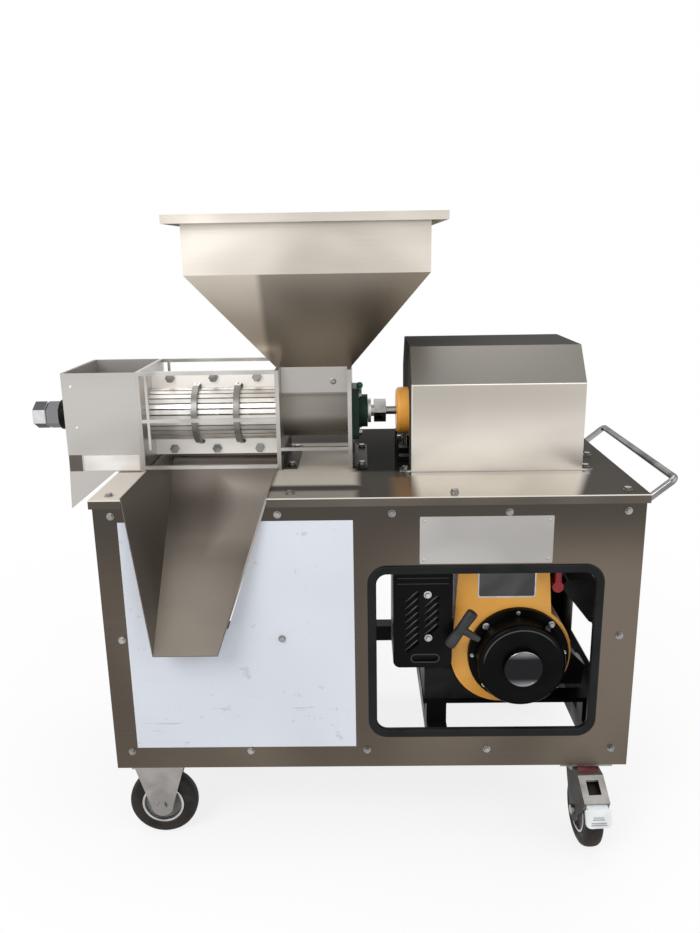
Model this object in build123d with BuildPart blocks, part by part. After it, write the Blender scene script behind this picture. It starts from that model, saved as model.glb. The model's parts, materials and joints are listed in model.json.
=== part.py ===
from build123d import *
import math
import os

os.makedirs("parts", exist_ok=True)

# Cabinet: x is counted from the table's middle, y from the press shaft and z from the table top
TABLE_WIDTH = 1000
TABLE_DEPTH = 580
TABLE_HEIGHT = 713
TABLE_FRONT = -300
TABLE_SHEET = 2
TABLE_LIP = 16
CABINET_HEIGHT = 548
PANEL_SHEET = 1.5
PANEL_INSET = 5
TUBE = 40
TUBE_WALL = 2.5
WELD_GAP = 0.2
TABLE_BACK = TABLE_FRONT + TABLE_DEPTH
TABLE_HALF = TABLE_WIDTH / 2
PANEL_FRONT = TABLE_FRONT + PANEL_INSET
PANEL_HALF = TABLE_HALF - PANEL_INSET
FRAME_FRONT = PANEL_FRONT + PANEL_SHEET
FRAME_BACK = TABLE_BACK - PANEL_INSET
FRAME_HALF = PANEL_HALF - PANEL_SHEET
RAIL_TOP = -TABLE_SHEET
POST_TOP = RAIL_TOP - TUBE
POST_FOOT = -CABINET_HEIGHT + TUBE

# Front window and its rubber trim
WINDOW_MIDDLE = (213, -307)
WINDOW_SIZE = (422, 341)
WINDOW_ROUND = 31
TRIM_FACE = 11
TRIM_LIP = 5.3
TRIM_DEPTH = 4.5
TRIM_ROUND = 3.6

# Vent low in the right side panel
VENT_MIDDLE = (-10, -428)
VENT_SIZE = (300, 95)

# Panel screws with a washer face
SCREW_SHANK = 2.5
SCREW_WASHER = 7
SCREW_WASHER_THICK = 1.2
SCREW_ACROSS = 9
SCREW_HEAD = 4.5
SCREW_TOP_ROW = -31
SCREW_MIDDLE_ROW = -274
SCREW_BOTTOM_ROW = -511
SCREW_TOP_COLUMNS = (-463, -163, 42, 252, 463)
SCREW_MIDDLE_COLUMNS = (-463, -163, 463)
SCREW_BOTTOM_COLUMNS = (-463, -232, -7, 224, 463)
SCREW_SIDE_COLUMNS = (-273, 0, 255)

# Push handle
BAR_RADIUS = 6.5
HANDLE_FRONT = -290
HANDLE_BACK = 145
HANDLE_OUT = 43
HANDLE_RISE = 26
HANDLE_DROP = -9
HANDLE_BEND = 10

# Press unit
SHAFT_Z = 100
PRESS_HALF = 106
PRESS_TOP = 201
PLATE = 8
CAGE_PLATE_X = -452
FEED_PLATE_X = -179
DRIVE_PLATE_X = -37
BOX_LEFT = -597
BOX_END_PLATE = 6
BOX_SHEET = 2
BOX_TOP = 201
BOX_BOTTOM = 37
BOX_STRIP_LEFT = -570
BOX_STRIP_BOTTOM = 2
TIE_BAR = 7
TIE_STRIP_LEFT = -434
TIE_STRIP_RIGHT = -429
TIE_STRIP_FOOT = 45
BARREL_RADIUS = 47.5
SLAT_DEPTH = 8
SLAT_WIDTH = 8.6
SLAT_STEP = 12
SLATS_PER_HALF = 15
FLANGE_THICK = 8
FLANGE_REACH = 87
HOOP_RADIUS = 64
HOOP_WIDTH = 12
HOOP_X = (-350, -264)
CAGE_BOLT_X = (-405, -315, -225)
CAGE_BOLT_REACH = 75
FOOT_LEG = 30
FOOT_THICK = 4

# Cake chute under the box
CAKE_SLOPE = 0.8
CAKE_CHUTE_LEFT = -602
CAKE_CHUTE_X = -520
CAKE_CHUTE_Z = -8
CAKE_CHUTE_HALF = 103.8
CAKE_CHUTE_SHEET = 1.5

# Press screw and its drive
SCREW_RADIUS = 46.5
SCREW_CORE = 20
SCREW_PITCH = 62
FLIGHT_THICK = 8
SCREW_LEFT = -430
FLIGHT_LEFT = -415
FLIGHT_RIGHT = -55
TIP_RADIUS = 12
TIP_LEFT = -520
NECK_RADIUS = 17.5
COLLAR_RADIUS = 25
COUPLING_LEFT = 16
COUPLING_RIGHT = 41
COUPLING_ACROSS = 44
OUTPUT_RADIUS = 8.5
RUNNING_GAP = 0.05
BEARING_SQUARE = 105
BEARING_FLANGE = 14
BEARING_BOSS = 34
BEARING_RIGHT = 3
BEARING_BOLT = 38

# Pressure adjuster at the left end
CONE_LARGE = 52
CONE_SMALL = 34
CONE_LEFT = -490
CONE_RIGHT = -446
SLEEVE_RADIUS = 17
BOSS_RADIUS = 31
BOSS_LEFT = -638
NUT_LEFT = -694
NUT_TURN = 30
NUT_GAP = 0.5
NUT_ACROSS = 49
NUT_ROUND = 3

# Feed housing and hopper
HOUSING_WALL = 3
COLLAR_Z = 150
COLLAR_HALF = 62
COLLAR_FLANGE = 3
HOPPER_SHEET = 2
HOPPER_X = -104
THROAT_Z = PRESS_TOP
BEND_Z = 385
RIM_Z = 488
HOPPER_LENGTH = 440
HOPPER_DEPTH = 400
RIM_OUT = 28
RIM_LIP = 15

# Milk chute in the table notch
CHUTE_SHEET = 1.5
CHUTE_TOP = 4
CHUTE_BACK = 110
CHUTE_BACK_FLOOR = -21
CHUTE_END = -350
CHUTE_END_FLOOR = -279
CHUTE_MOUTH_TOP = -300
CHUTE_LEFT = -439.8
CHUTE_LEFT_LEAN = 0.1725
CHUTE_RIGHT = -183
CHUTE_RIGHT_LEAN = 0.331
NOTCH_LEFT = -441.5
NOTCH_RIGHT = -181.2
NOTCH_BACK = 116
CHUTE_PAST = 60

# Reducer with a worm: the wheel turns with the press shaft, the worm runs front to back
NOSE_RADIUS = 48
NOSE_LEFT = 62
NOSE_RIGHT = 125
CASE_RADIUS = 62
CASE_RIGHT = 215
WHEEL_X = 170
WORM_DROP = 50
WHEEL_OUTER = 32.5
WHEEL_WIDTH_X = 24
WHEEL_TEETH = 30
TOOTH_DEPTH = 4
TOOTH_GAP = 3.2
WHEEL_ROOM = 42
WORM_ROOM = 20
WORM_TUBE = 30
WORM_TUBE_HALF = 75
WORM_CORE = 11
WORM_OUTER = 16.5
WORM_PITCH = 7
WORM_SHAFT = 8
WORM_Z = SHAFT_Z - WORM_DROP
BASE_THICK = 12
BASE_FOOT = 24

# Belt drive
BELT_Y = 165
BELT_WIDTH = 12
BELT_THICK = 8
GROOVE_WIDTH = 13
GROOVE_GAP = 0.5
PULLEY_WIDTH = 26
DRIVEN_RADIUS = 60
DRIVER_RADIUS = 37.5
GROOVE_DEPTH = 10.5
SLOT_LEFT = 100
SLOT_RIGHT = 268
SLOT_HALF = 18

# Hood over the reducer
HOOD_LEFT = 87
HOOD_RIGHT = 422
HOOD_FRONT = -131
HOOD_BACK = 189
HOOD_BEND = 172
HOOD_TOP = 240
HOOD_TOP_FRONT = -74
HOOD_TOP_BACK = 132
HOOD_SHEET = 1.5
HOOD_ARCH = 54
TAB_OUT = 22
TAB_WIDE = 26

# Engine behind the window; the crank runs front to back
CRANK_X = 292
CRANK_Z = -350
ENGINE_BASE = -456
BED_DEEP = 10
BED_FRONT = -205
BED_BACK = 80
BED_LEFT = 108
BED_RIGHT = 453
BED_LEGS = ((115, 155), (430, 453))
CASE_HALF = 85
CASE_TOP = -262
CASE_FRONT = -110
CASE_BACK = 90
CASE_WALL = 9
CYLINDER_TOP = -168
SHROUD_FRONT = -215
SCROLL_RADIUS = 105
SCROLL_SIDE_RADIUS = 102.5
SCROLL_SIDE_X = -29
SCROLL_SIDE_Z = -2
NECK_TOP_Z = -150
NECK_TOP_LEFT = 174
NECK_TOP_RIGHT = 346
NECK_FOOT_Z = -330
NECK_FOOT_LEFT = 164
NECK_FOOT_RIGHT = 360
SHROUD_WALL = 2.5
RECOIL_RING = 98.5
RECOIL_RING_DEEP = 11
RECOIL_DISC = 84.5
RECOIL_DISC_DEEP = 44
RECOIL_ROUND = 9
RECOIL_NOSE = 37
RECOIL_NOSE_DEEP = 10
RECOIL_WALL = 3
FLYWHEEL_RADIUS = 80
CRANK_RADIUS = 12.5
TANK_LEFT = 195
TANK_RIGHT = 385
TANK_BOTTOM = -160
TANK_TOP = -85
COCK_X = 366
COCK_Z = -211
GUARD_LEFT = 46
GUARD_RIGHT = 160
GUARD_BOTTOM = -366
GUARD_TOP = -160
GUARD_FRONT = -240
GUARD_BACK = -130
GRIP_X = 174
GRIP_Y = -262
GRIP_Z = -274
GRIP_LENGTH = 84
GRIP_RADIUS = 11

# Casters
CASTER_X = 418
CASTER_FRONT = -258
CASTER_BACK = 238
WHEEL_RADIUS = 68
WHEEL_WIDTH = 36
TREAD_ROUND = 9
RIM_RADIUS = 42
RIM_DISH = 7
HUB_RADIUS = 17
HUB_WIDTH = 42
AXLE_RADIUS = 6
FORK_THICK = 3
FORK_INSIDE = 21.5
FORK_END = 22
PLATE_LONG = 100
PLATE_DEEP = 72
PLATE_THICK = 4
RACE_RADIUS = 28
RACE_DROP = 4
RACE_GAP = 0.4
CROWN_RADIUS = 34
CROWN_DEEP = 12
TRAIL = 40
FRONT_TURN = 3
BACK_TURN = -84
PEDAL_T = 96
PEDAL_Z = -594
PEDAL_PIN = 3
PEDAL_BARREL = 6
PEDAL_HALF = 24
PEDAL_REACH = 26
PEDAL_FALL = 34
TREAD_START = 8
TREAD_EDGE = 5
PEDAL_ROUND = 9
COVER_BACK = 58
COVER_FRONT = 104
COVER_FRONT_Z = -586
COVER_THICK = 3
COVER_HOLE = (66, 90)
COVER_HOLE_HALF = 12
FORK_HEEL = 20
CASTER_PLATE_Z = -CABINET_HEIGHT
AXLE_Z = WHEEL_RADIUS - TABLE_HEIGHT

# The origin is on the floor, under the middle of the whole machine
LEFT_REACH = NUT_LEFT
RIGHT_REACH = TABLE_HALF + HANDLE_OUT + BAR_RADIUS
PEDAL_SWING = math.radians(FRONT_TURN)
PEDAL_AHEAD = (PEDAL_T + PEDAL_REACH) * math.cos(PEDAL_SWING) + PEDAL_HALF * math.sin(PEDAL_SWING)
FRONT_REACH = CASTER_FRONT - PEDAL_AHEAD
TABLE_X = -(LEFT_REACH + RIGHT_REACH) / 2
SHAFT_Y = -(FRONT_REACH + TABLE_BACK) / 2


def level(z):
    """Flat plane at height z over the table top; its axes run right and back."""
    return Plane(origin=(TABLE_X, SHAFT_Y, TABLE_HEIGHT + z))


def facing_front(y):
    """Upright plane at depth y behind the shaft; its axes run right and up."""
    return Plane(origin=(TABLE_X, SHAFT_Y + y, TABLE_HEIGHT), x_dir=(1, 0, 0), z_dir=(0, -1, 0))


def facing_right(x):
    """Upright plane at distance x from the table's middle; its axes run back and up."""
    return Plane(origin=(TABLE_X + x, SHAFT_Y, TABLE_HEIGHT), x_dir=(0, 1, 0), z_dir=(1, 0, 0))


def block(low, high, mode=Mode.ADD):
    """Box between two corners."""
    size = [b - a for a, b in zip(low, high)]
    middle = tuple((a + b) / 2 for a, b in zip(low, high))
    with Locations(middle):
        Box(*size, mode=mode)


def rod_x(left, right, radius, y=0, z=SHAFT_Z, mode=Mode.ADD):
    """Round bar from left to right."""
    with Locations(((left + right) / 2, y, z)):
        Cylinder(radius, right - left, rotation=(0, 90, 0), mode=mode)


def rod_y(front, back, radius, x, z, mode=Mode.ADD):
    """Round bar from front to back."""
    with Locations((x, (front + back) / 2, z)):
        Cylinder(radius, back - front, rotation=(90, 0, 0), mode=mode)


def rod_z(bottom, top, radius, x, y, mode=Mode.ADD):
    """Upright round bar."""
    with Locations((x, y, (bottom + top) / 2)):
        Cylinder(radius, top - bottom, mode=mode)


def plate(plane, points, thick, mode=Mode.ADD):
    """Flat plate of a straight-edged outline, standing on its plane."""
    with BuildSketch(plane) as outline:
        Polygon(*points, align=None)
    extrude(outline.sketch, amount=thick, mode=mode)


def hexagon(plane, middle, across, thick, turn=0):
    """Hexagonal block on a plane, as a nut or a bolt head, turned by an angle."""
    with BuildSketch(plane) as outline:
        with Locations(middle):
            RegularPolygon(across / 2, 6, major_radius=False, rotation=turn)
    extrude(outline.sketch, amount=thick)


def disc(plane, middle, radius, thick, mode=Mode.ADD):
    """Round plate on a plane."""
    with BuildSketch(plane) as outline:
        with Locations(middle):
            Circle(radius)
    extrude(outline.sketch, amount=thick, mode=mode)


def square_tube(low, high, along):
    """Hollow square tube between two corners, open at both ends of one axis."""
    block(low, high)
    inner_low = [a + (0 if axis == along else TUBE_WALL) for axis, a in enumerate(low)]
    inner_high = [b - (0 if axis == along else TUBE_WALL) for axis, b in enumerate(high)]
    block(inner_low, inner_high, Mode.SUBTRACT)


def save(piece, name):
    """Name a finished piece and write it."""
    piece.part.label = name
    export_step(piece.part, f"parts/{name}.step")


# Frame posts: four corners and one upright beside the milk chute
CORNER_SPANS = ((-FRAME_HALF, TUBE - FRAME_HALF), (FRAME_HALF - TUBE, FRAME_HALF))
DEPTH_SPANS = ((FRAME_FRONT, FRAME_FRONT + TUBE), (FRAME_BACK - TUBE, FRAME_BACK))
MIDDLE_POST = -171
with BuildPart(level(0)) as frame_posts:
    for left, right in CORNER_SPANS:
        for front, back in DEPTH_SPANS:
            square_tube((left, front, POST_FOOT), (right, back, POST_TOP), 2)
    square_tube(
        (MIDDLE_POST, FRAME_FRONT, POST_FOOT), (MIDDLE_POST + TUBE, FRAME_FRONT + TUBE, POST_TOP), 2
    )
save(frame_posts, "frame_posts")

# Frame rails: long ones front and back, cross rails at the ends, bearers under press and engine
CROSS_FRONT = FRAME_FRONT + TUBE + WELD_GAP
CROSS_BACK = FRAME_BACK - TUBE - WELD_GAP
STUB_RIGHT = -451
BEARERS = (-151, -10, 330)
with BuildPart(level(0)) as frame_rails:
    for front, back in DEPTH_SPANS:
        square_tube((-FRAME_HALF, front, -CABINET_HEIGHT), (FRAME_HALF, back, POST_FOOT), 0)
    square_tube((-FRAME_HALF, FRAME_BACK - TUBE, POST_TOP), (FRAME_HALF, FRAME_BACK, RAIL_TOP), 0)
    square_tube((-FRAME_HALF, FRAME_FRONT, POST_TOP), (STUB_RIGHT, FRAME_FRONT + TUBE, RAIL_TOP), 0)
    square_tube((MIDDLE_POST, FRAME_FRONT, POST_TOP), (FRAME_HALF, FRAME_FRONT + TUBE, RAIL_TOP), 0)
    for left, right in CORNER_SPANS:
        square_tube((left, CROSS_FRONT, -CABINET_HEIGHT), (right, CROSS_BACK, POST_FOOT), 1)
        square_tube((left, CROSS_FRONT, POST_TOP), (right, CROSS_BACK, RAIL_TOP), 1)
    for x in BEARERS:
        square_tube((x - TUBE / 2, CROSS_FRONT, POST_TOP), (x + TUBE / 2, CROSS_BACK, RAIL_TOP), 1)
    for left, right in BED_LEGS:
        square_tube((left, CROSS_FRONT, -CABINET_HEIGHT), (right, CROSS_BACK, POST_FOOT), 1)
save(frame_rails, "frame_rails")

# Engine bed: two rails across, two under the engine's feet, four legs on the cross rails
BED_BOTTOM = ENGINE_BASE - BED_DEEP
BED_FOOT_X = (230, 355)
with BuildPart(level(0)) as engine_bed:
    for front in (BED_FRONT, BED_BACK - TUBE):
        square_tube((BED_LEFT, front, BED_BOTTOM), (BED_RIGHT, front + TUBE, ENGINE_BASE), 0)
        for left, right in BED_LEGS:
            square_tube((left, front, POST_FOOT), (right, front + TUBE, BED_BOTTOM - WELD_GAP), 2)
    for x in BED_FOOT_X:
        square_tube(
            (x - TUBE / 2, BED_FRONT + TUBE + WELD_GAP, BED_BOTTOM),
            (x + TUBE / 2, BED_BACK - TUBE - WELD_GAP, ENGINE_BASE),
            1,
        )
save(engine_bed, "engine_bed")

# Table top: one folded sheet with the notch for the chute and the slot for the belt
with BuildPart(level(0)) as table_top:
    block((-TABLE_HALF, TABLE_FRONT, -TABLE_LIP), (TABLE_HALF, TABLE_BACK, 0))
    block(
        (TABLE_SHEET - TABLE_HALF, TABLE_FRONT + TABLE_SHEET, -TABLE_LIP),
        (TABLE_HALF - TABLE_SHEET, TABLE_BACK - TABLE_SHEET, -TABLE_SHEET),
        Mode.SUBTRACT,
    )
    block((NOTCH_LEFT, TABLE_FRONT, -TABLE_LIP), (NOTCH_RIGHT, NOTCH_BACK, 0), Mode.SUBTRACT)
    block(
        (SLOT_LEFT, BELT_Y - SLOT_HALF, -TABLE_LIP), (SLOT_RIGHT, BELT_Y + SLOT_HALF, 0), Mode.SUBTRACT
    )
save(table_top, "table_top")

# Front panel: sheet with the rounded window, the chute's opening and the screw holes
SCREW_POINTS = (
    [(x, SCREW_TOP_ROW) for x in SCREW_TOP_COLUMNS]
    + [(x, SCREW_MIDDLE_ROW) for x in SCREW_MIDDLE_COLUMNS]
    + [(x, SCREW_BOTTOM_ROW) for x in SCREW_BOTTOM_COLUMNS]
)
PANEL_TOP = -3
OPENING_FLOOR = -253
OPENING_PLAY = 4
OPENING = (
    (CHUTE_LEFT - CHUTE_LEFT_LEAN * PANEL_TOP - OPENING_PLAY, PANEL_TOP),
    (CHUTE_LEFT - CHUTE_LEFT_LEAN * OPENING_FLOOR - OPENING_PLAY, OPENING_FLOOR),
    (CHUTE_RIGHT + CHUTE_RIGHT_LEAN * OPENING_FLOOR + OPENING_PLAY, OPENING_FLOOR),
    (CHUTE_RIGHT + CHUTE_RIGHT_LEAN * PANEL_TOP + OPENING_PLAY, PANEL_TOP),
)
with BuildPart() as front_panel:
    with BuildSketch(facing_front(FRAME_FRONT)):
        with Locations((0, (PANEL_TOP - CABINET_HEIGHT) / 2)):
            Rectangle(2 * PANEL_HALF, CABINET_HEIGHT + PANEL_TOP)
        with Locations(WINDOW_MIDDLE):
            RectangleRounded(*WINDOW_SIZE, WINDOW_ROUND, mode=Mode.SUBTRACT)
        Polygon(*OPENING, align=None, mode=Mode.SUBTRACT)
        with Locations(*SCREW_POINTS):
            Circle(SCREW_SHANK, mode=Mode.SUBTRACT)
    extrude(amount=PANEL_SHEET)
save(front_panel, "front_panel")

# Side panels: the right one has the low vent
SIDE_POINTS = [(y, z) for y in SCREW_SIDE_COLUMNS for z in (SCREW_TOP_ROW, SCREW_BOTTOM_ROW)]
SIDE_MIDDLE = ((FRAME_FRONT + FRAME_BACK) / 2, (PANEL_TOP - CABINET_HEIGHT) / 2)
with BuildPart() as side_panels:
    with BuildSketch(facing_right(FRAME_HALF)):
        with Locations(SIDE_MIDDLE):
            Rectangle(FRAME_BACK - FRAME_FRONT, CABINET_HEIGHT + PANEL_TOP)
        with Locations(VENT_MIDDLE):
            Rectangle(*VENT_SIZE, mode=Mode.SUBTRACT)
        with Locations(*SIDE_POINTS):
            Circle(SCREW_SHANK, mode=Mode.SUBTRACT)
    extrude(amount=PANEL_SHEET)
    with BuildSketch(facing_right(-PANEL_HALF)):
        with Locations(SIDE_MIDDLE):
            Rectangle(FRAME_BACK - FRAME_FRONT, CABINET_HEIGHT + PANEL_TOP)
        with Locations(*SIDE_POINTS):
            Circle(SCREW_SHANK, mode=Mode.SUBTRACT)
    extrude(amount=PANEL_SHEET)
save(side_panels, "side_panels")


def window_ring(y, thick, outward, inward):
    """Flat ring round the window's edge, reaching outward over the sheet and inward from it."""
    with BuildSketch(facing_front(y)) as ring:
        with Locations(WINDOW_MIDDLE):
            RectangleRounded(*(side + 2 * outward for side in WINDOW_SIZE), WINDOW_ROUND + outward)
            RectangleRounded(
                *(side - 2 * inward for side in WINDOW_SIZE), WINDOW_ROUND - inward, mode=Mode.SUBTRACT
            )
    extrude(ring.sketch, amount=thick)


# Window trim: a rubber channel that grips the sheet's edge from both sides
with BuildPart() as window_trim:
    window_ring(PANEL_FRONT, TRIM_DEPTH, TRIM_LIP, TRIM_FACE)
    fillet(window_trim.faces().sort_by(Axis.Y)[0].edges(), TRIM_ROUND)
    window_ring(FRAME_FRONT, PANEL_SHEET, 0, TRIM_FACE)
    window_ring(FRAME_FRONT + TRIM_DEPTH, TRIM_DEPTH, TRIM_LIP, TRIM_FACE)
save(window_trim, "window_trim")


def panel_screw(plane, inner_plane, middle):
    """Screw with a washer face and a hexagonal head, its shank through the sheet."""
    disc(inner_plane, middle, SCREW_SHANK, PANEL_SHEET)
    disc(plane, middle, SCREW_WASHER, SCREW_WASHER_THICK)
    hexagon(plane.offset(SCREW_WASHER_THICK), middle, SCREW_ACROSS, SCREW_HEAD)


# Panel screws, on the front and on both sides
left_outside = Plane(
    origin=(TABLE_X - PANEL_HALF, SHAFT_Y, TABLE_HEIGHT), x_dir=(0, -1, 0), z_dir=(-1, 0, 0)
)
with BuildPart() as panel_screws:
    for point in SCREW_POINTS:
        panel_screw(facing_front(PANEL_FRONT), facing_front(FRAME_FRONT), point)
    for y, z in SIDE_POINTS:
        panel_screw(facing_right(PANEL_HALF), facing_right(FRAME_HALF), (y, z))
        panel_screw(left_outside, left_outside.offset(-PANEL_SHEET), (-y, z))
save(panel_screws, "panel_screws")

# Push handle: a bent round bar welded to the table's right lip
HANDLE_TUCK = 10
HANDLE_STEEP = (HANDLE_RISE - HANDLE_DROP) / HANDLE_OUT
HANDLE_START = HANDLE_DROP - HANDLE_TUCK * HANDLE_STEEP
HANDLE_POINTS = (
    (TABLE_HALF - HANDLE_TUCK, HANDLE_FRONT, HANDLE_START),
    (TABLE_HALF + HANDLE_OUT, HANDLE_FRONT, HANDLE_RISE),
    (TABLE_HALF + HANDLE_OUT, HANDLE_BACK, HANDLE_RISE),
    (TABLE_HALF - HANDLE_TUCK, HANDLE_BACK, HANDLE_START),
)
with BuildPart() as push_handle:
    with BuildLine(level(0)) as bar_path:
        FilletPolyline(*HANDLE_POINTS, radius=HANDLE_BEND)
    with BuildSketch(Plane(origin=bar_path.line @ 0, z_dir=bar_path.line % 0)):
        Circle(BAR_RADIUS)
    sweep(path=bar_path.line)
    split(bisect_by=facing_right(TABLE_HALF), keep=Keep.TOP)
save(push_handle, "push_handle")


def chute_outline(grow):
    """Cross-section of the chute: two leaning walls, cut off well under its floor."""
    deep = CHUTE_END_FLOOR - CHUTE_PAST
    left_grow = grow * math.hypot(1, CHUTE_LEFT_LEAN)
    right_grow = grow * math.hypot(1, CHUTE_RIGHT_LEAN)
    left = [(CHUTE_LEFT - CHUTE_LEFT_LEAN * z - left_grow, z) for z in (CHUTE_TOP, deep)]
    right = [(CHUTE_RIGHT + CHUTE_RIGHT_LEAN * z + right_grow, z) for z in (deep, CHUTE_TOP)]
    return left + right


# Milk chute: a sheet trough that hangs in the table notch and runs out over the front
FLOOR_SLOPE = (CHUTE_BACK_FLOOR - CHUTE_END_FLOOR) / (CHUTE_BACK - CHUTE_END)
FLOOR_LIFT = CHUTE_SHEET * math.hypot(1, FLOOR_SLOPE)
INNER_FLOOR_END = CHUTE_END_FLOOR - CHUTE_PAST * FLOOR_SLOPE
with BuildPart() as chute_hollow:
    plate(facing_front(CHUTE_BACK), chute_outline(0), CHUTE_BACK - CHUTE_END + CHUTE_PAST)
    with BuildSketch(facing_right(CHUTE_LEFT - CHUTE_PAST)):
        Polygon(
            (CHUTE_BACK, CHUTE_TOP),
            (CHUTE_BACK, CHUTE_BACK_FLOOR),
            (CHUTE_END - CHUTE_PAST, INNER_FLOOR_END),
            (CHUTE_END - CHUTE_PAST, CHUTE_TOP),
            align=None,
        )
    extrude(amount=CHUTE_RIGHT - CHUTE_LEFT + 2 * CHUTE_PAST, mode=Mode.INTERSECT)
with BuildPart() as milk_chute:
    plate(
        facing_front(CHUTE_BACK + CHUTE_SHEET),
        chute_outline(CHUTE_SHEET),
        CHUTE_BACK - CHUTE_END + CHUTE_PAST,
    )
    with BuildSketch(facing_right(CHUTE_LEFT - CHUTE_PAST)):
        Polygon(
            (CHUTE_BACK + CHUTE_SHEET, CHUTE_TOP),
            (CHUTE_BACK + CHUTE_SHEET, CHUTE_BACK_FLOOR - FLOOR_LIFT),
            (CHUTE_END, CHUTE_END_FLOOR - FLOOR_LIFT),
            (CHUTE_END, CHUTE_END_FLOOR),
            (CHUTE_MOUTH_TOP, CHUTE_TOP),
            align=None,
        )
    extrude(amount=CHUTE_RIGHT - CHUTE_LEFT + 2 * CHUTE_PAST, mode=Mode.INTERSECT)
    add(chute_hollow.part, mode=Mode.SUBTRACT)
save(milk_chute, "milk_chute")

# Press plates: cage plate, feed plate and drive plate, all standing on the table
PLATE_HOLES = (
    (CAGE_PLATE_X, BARREL_RADIUS),
    (FEED_PLATE_X, BARREL_RADIUS),
    (DRIVE_PLATE_X, NECK_RADIUS + 1),
)
with BuildPart(level(0)) as press_plates:
    for x, hole in PLATE_HOLES:
        block((x, -PRESS_HALF, 0), (x + PLATE, PRESS_HALF, PRESS_TOP))
        rod_x(x, x + PLATE, hole, mode=Mode.SUBTRACT)
save(press_plates, "press_plates")

# Tie bars between the plates, in front and at the back, with an upright strip beside the cage plate
CAGE_LEFT = CAGE_PLATE_X + PLATE
FEED_LEFT = FEED_PLATE_X + PLATE
CAGE_BARS_Z = (5, 100, PRESS_TOP - TIE_BAR)
FEED_BAR_Z = 40
with BuildPart(level(0)) as tie_bars:
    for front in (-PRESS_HALF, PRESS_HALF - TIE_BAR):
        for z in CAGE_BARS_Z:
            block((CAGE_LEFT, front, z), (FEED_PLATE_X, front + TIE_BAR, z + TIE_BAR))
        block((FEED_LEFT, front, FEED_BAR_Z), (DRIVE_PLATE_X, front + TIE_BAR, FEED_BAR_Z + TIE_BAR))
        block((TIE_STRIP_LEFT, front, TIE_STRIP_FOOT), (TIE_STRIP_RIGHT, front + TIE_BAR, PRESS_TOP))
save(tie_bars, "tie_bars")

# Cake box: thick end plate with a sheet front and back, open at the top and at the bottom
BOX_FRONT_POINTS = (
    (BOX_LEFT, BOX_TOP),
    (BOX_LEFT, BOX_BOTTOM),
    (BOX_STRIP_LEFT, BOX_BOTTOM),
    (BOX_STRIP_LEFT, BOX_STRIP_BOTTOM),
    (CAGE_PLATE_X, BOX_STRIP_BOTTOM),
    (CAGE_PLATE_X, BOX_TOP),
)
with BuildPart(level(0)) as cake_box:
    block((BOX_LEFT, -PRESS_HALF, BOX_BOTTOM), (BOX_LEFT + BOX_END_PLATE, PRESS_HALF, BOX_TOP))
    plate(facing_front(BOX_SHEET - PRESS_HALF), BOX_FRONT_POINTS, BOX_SHEET)
    plate(facing_front(PRESS_HALF), BOX_FRONT_POINTS, BOX_SHEET)
    rod_x(BOX_LEFT, BOX_LEFT + BOX_END_PLATE, SLEEVE_RADIUS + 1, mode=Mode.SUBTRACT)
save(cake_box, "cake_box")


def cake_floor(x):
    """Height of the cake chute's floor."""
    return CAKE_CHUTE_Z + CAKE_SLOPE * (x - CAKE_CHUTE_X)


# Cake chute: sloping floor with a cheek at each side that closes the corner under the box
CHEEK_LAP = 6
CHEEK_GAP = 0.5
CAKE_RIGHT = CAGE_PLATE_X - 1
CAKE_DROP = CAKE_CHUTE_SHEET * math.hypot(1, CAKE_SLOPE)
CHEEK_POINTS = (
    (CAKE_CHUTE_LEFT, cake_floor(CAKE_CHUTE_LEFT)),
    (CAKE_RIGHT, cake_floor(CAKE_RIGHT)),
    (CAKE_RIGHT, cake_floor(CAKE_RIGHT) + CAKE_CHUTE_SHEET * 6),
    (BOX_STRIP_LEFT + CHEEK_LAP, BOX_BOTTOM - CHEEK_GAP),
    (BOX_LEFT, BOX_BOTTOM - CHEEK_GAP),
)
with BuildPart() as cake_chute:
    plate(
        facing_front(CAKE_CHUTE_HALF),
        (
            (CAKE_CHUTE_LEFT, cake_floor(CAKE_CHUTE_LEFT)),
            (CAKE_CHUTE_LEFT, cake_floor(CAKE_CHUTE_LEFT) - CAKE_DROP),
            (CAKE_RIGHT, cake_floor(CAKE_RIGHT) - CAKE_DROP),
            (CAKE_RIGHT, cake_floor(CAKE_RIGHT)),
        ),
        2 * CAKE_CHUTE_HALF,
    )
    plate(facing_front(CAKE_CHUTE_SHEET - CAKE_CHUTE_HALF), CHEEK_POINTS, CAKE_CHUTE_SHEET)
    plate(facing_front(CAKE_CHUTE_HALF), CHEEK_POINTS, CAKE_CHUTE_SHEET)
save(cake_chute, "cake_chute")

# Press feet: angle bars along the three plates
FOOT_HALF = 96
FOOT_X = (FEED_PLATE_X + PLATE, DRIVE_PLATE_X + PLATE)
with BuildPart(level(0)) as press_feet:
    for x in FOOT_X:
        block((x, -FOOT_HALF, 0), (x + FOOT_THICK, FOOT_HALF, FOOT_LEG))
        block((x, -FOOT_HALF, 0), (x + FOOT_LEG, FOOT_HALF, FOOT_THICK))
    block((CAGE_PLATE_X - FOOT_THICK, -FOOT_HALF, 0), (CAGE_PLATE_X, FOOT_HALF, FOOT_LEG))
    block((CAGE_PLATE_X - FOOT_LEG, -FOOT_HALF, 0), (CAGE_PLATE_X, FOOT_HALF, FOOT_THICK))
save(press_feet, "press_feet")


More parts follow.
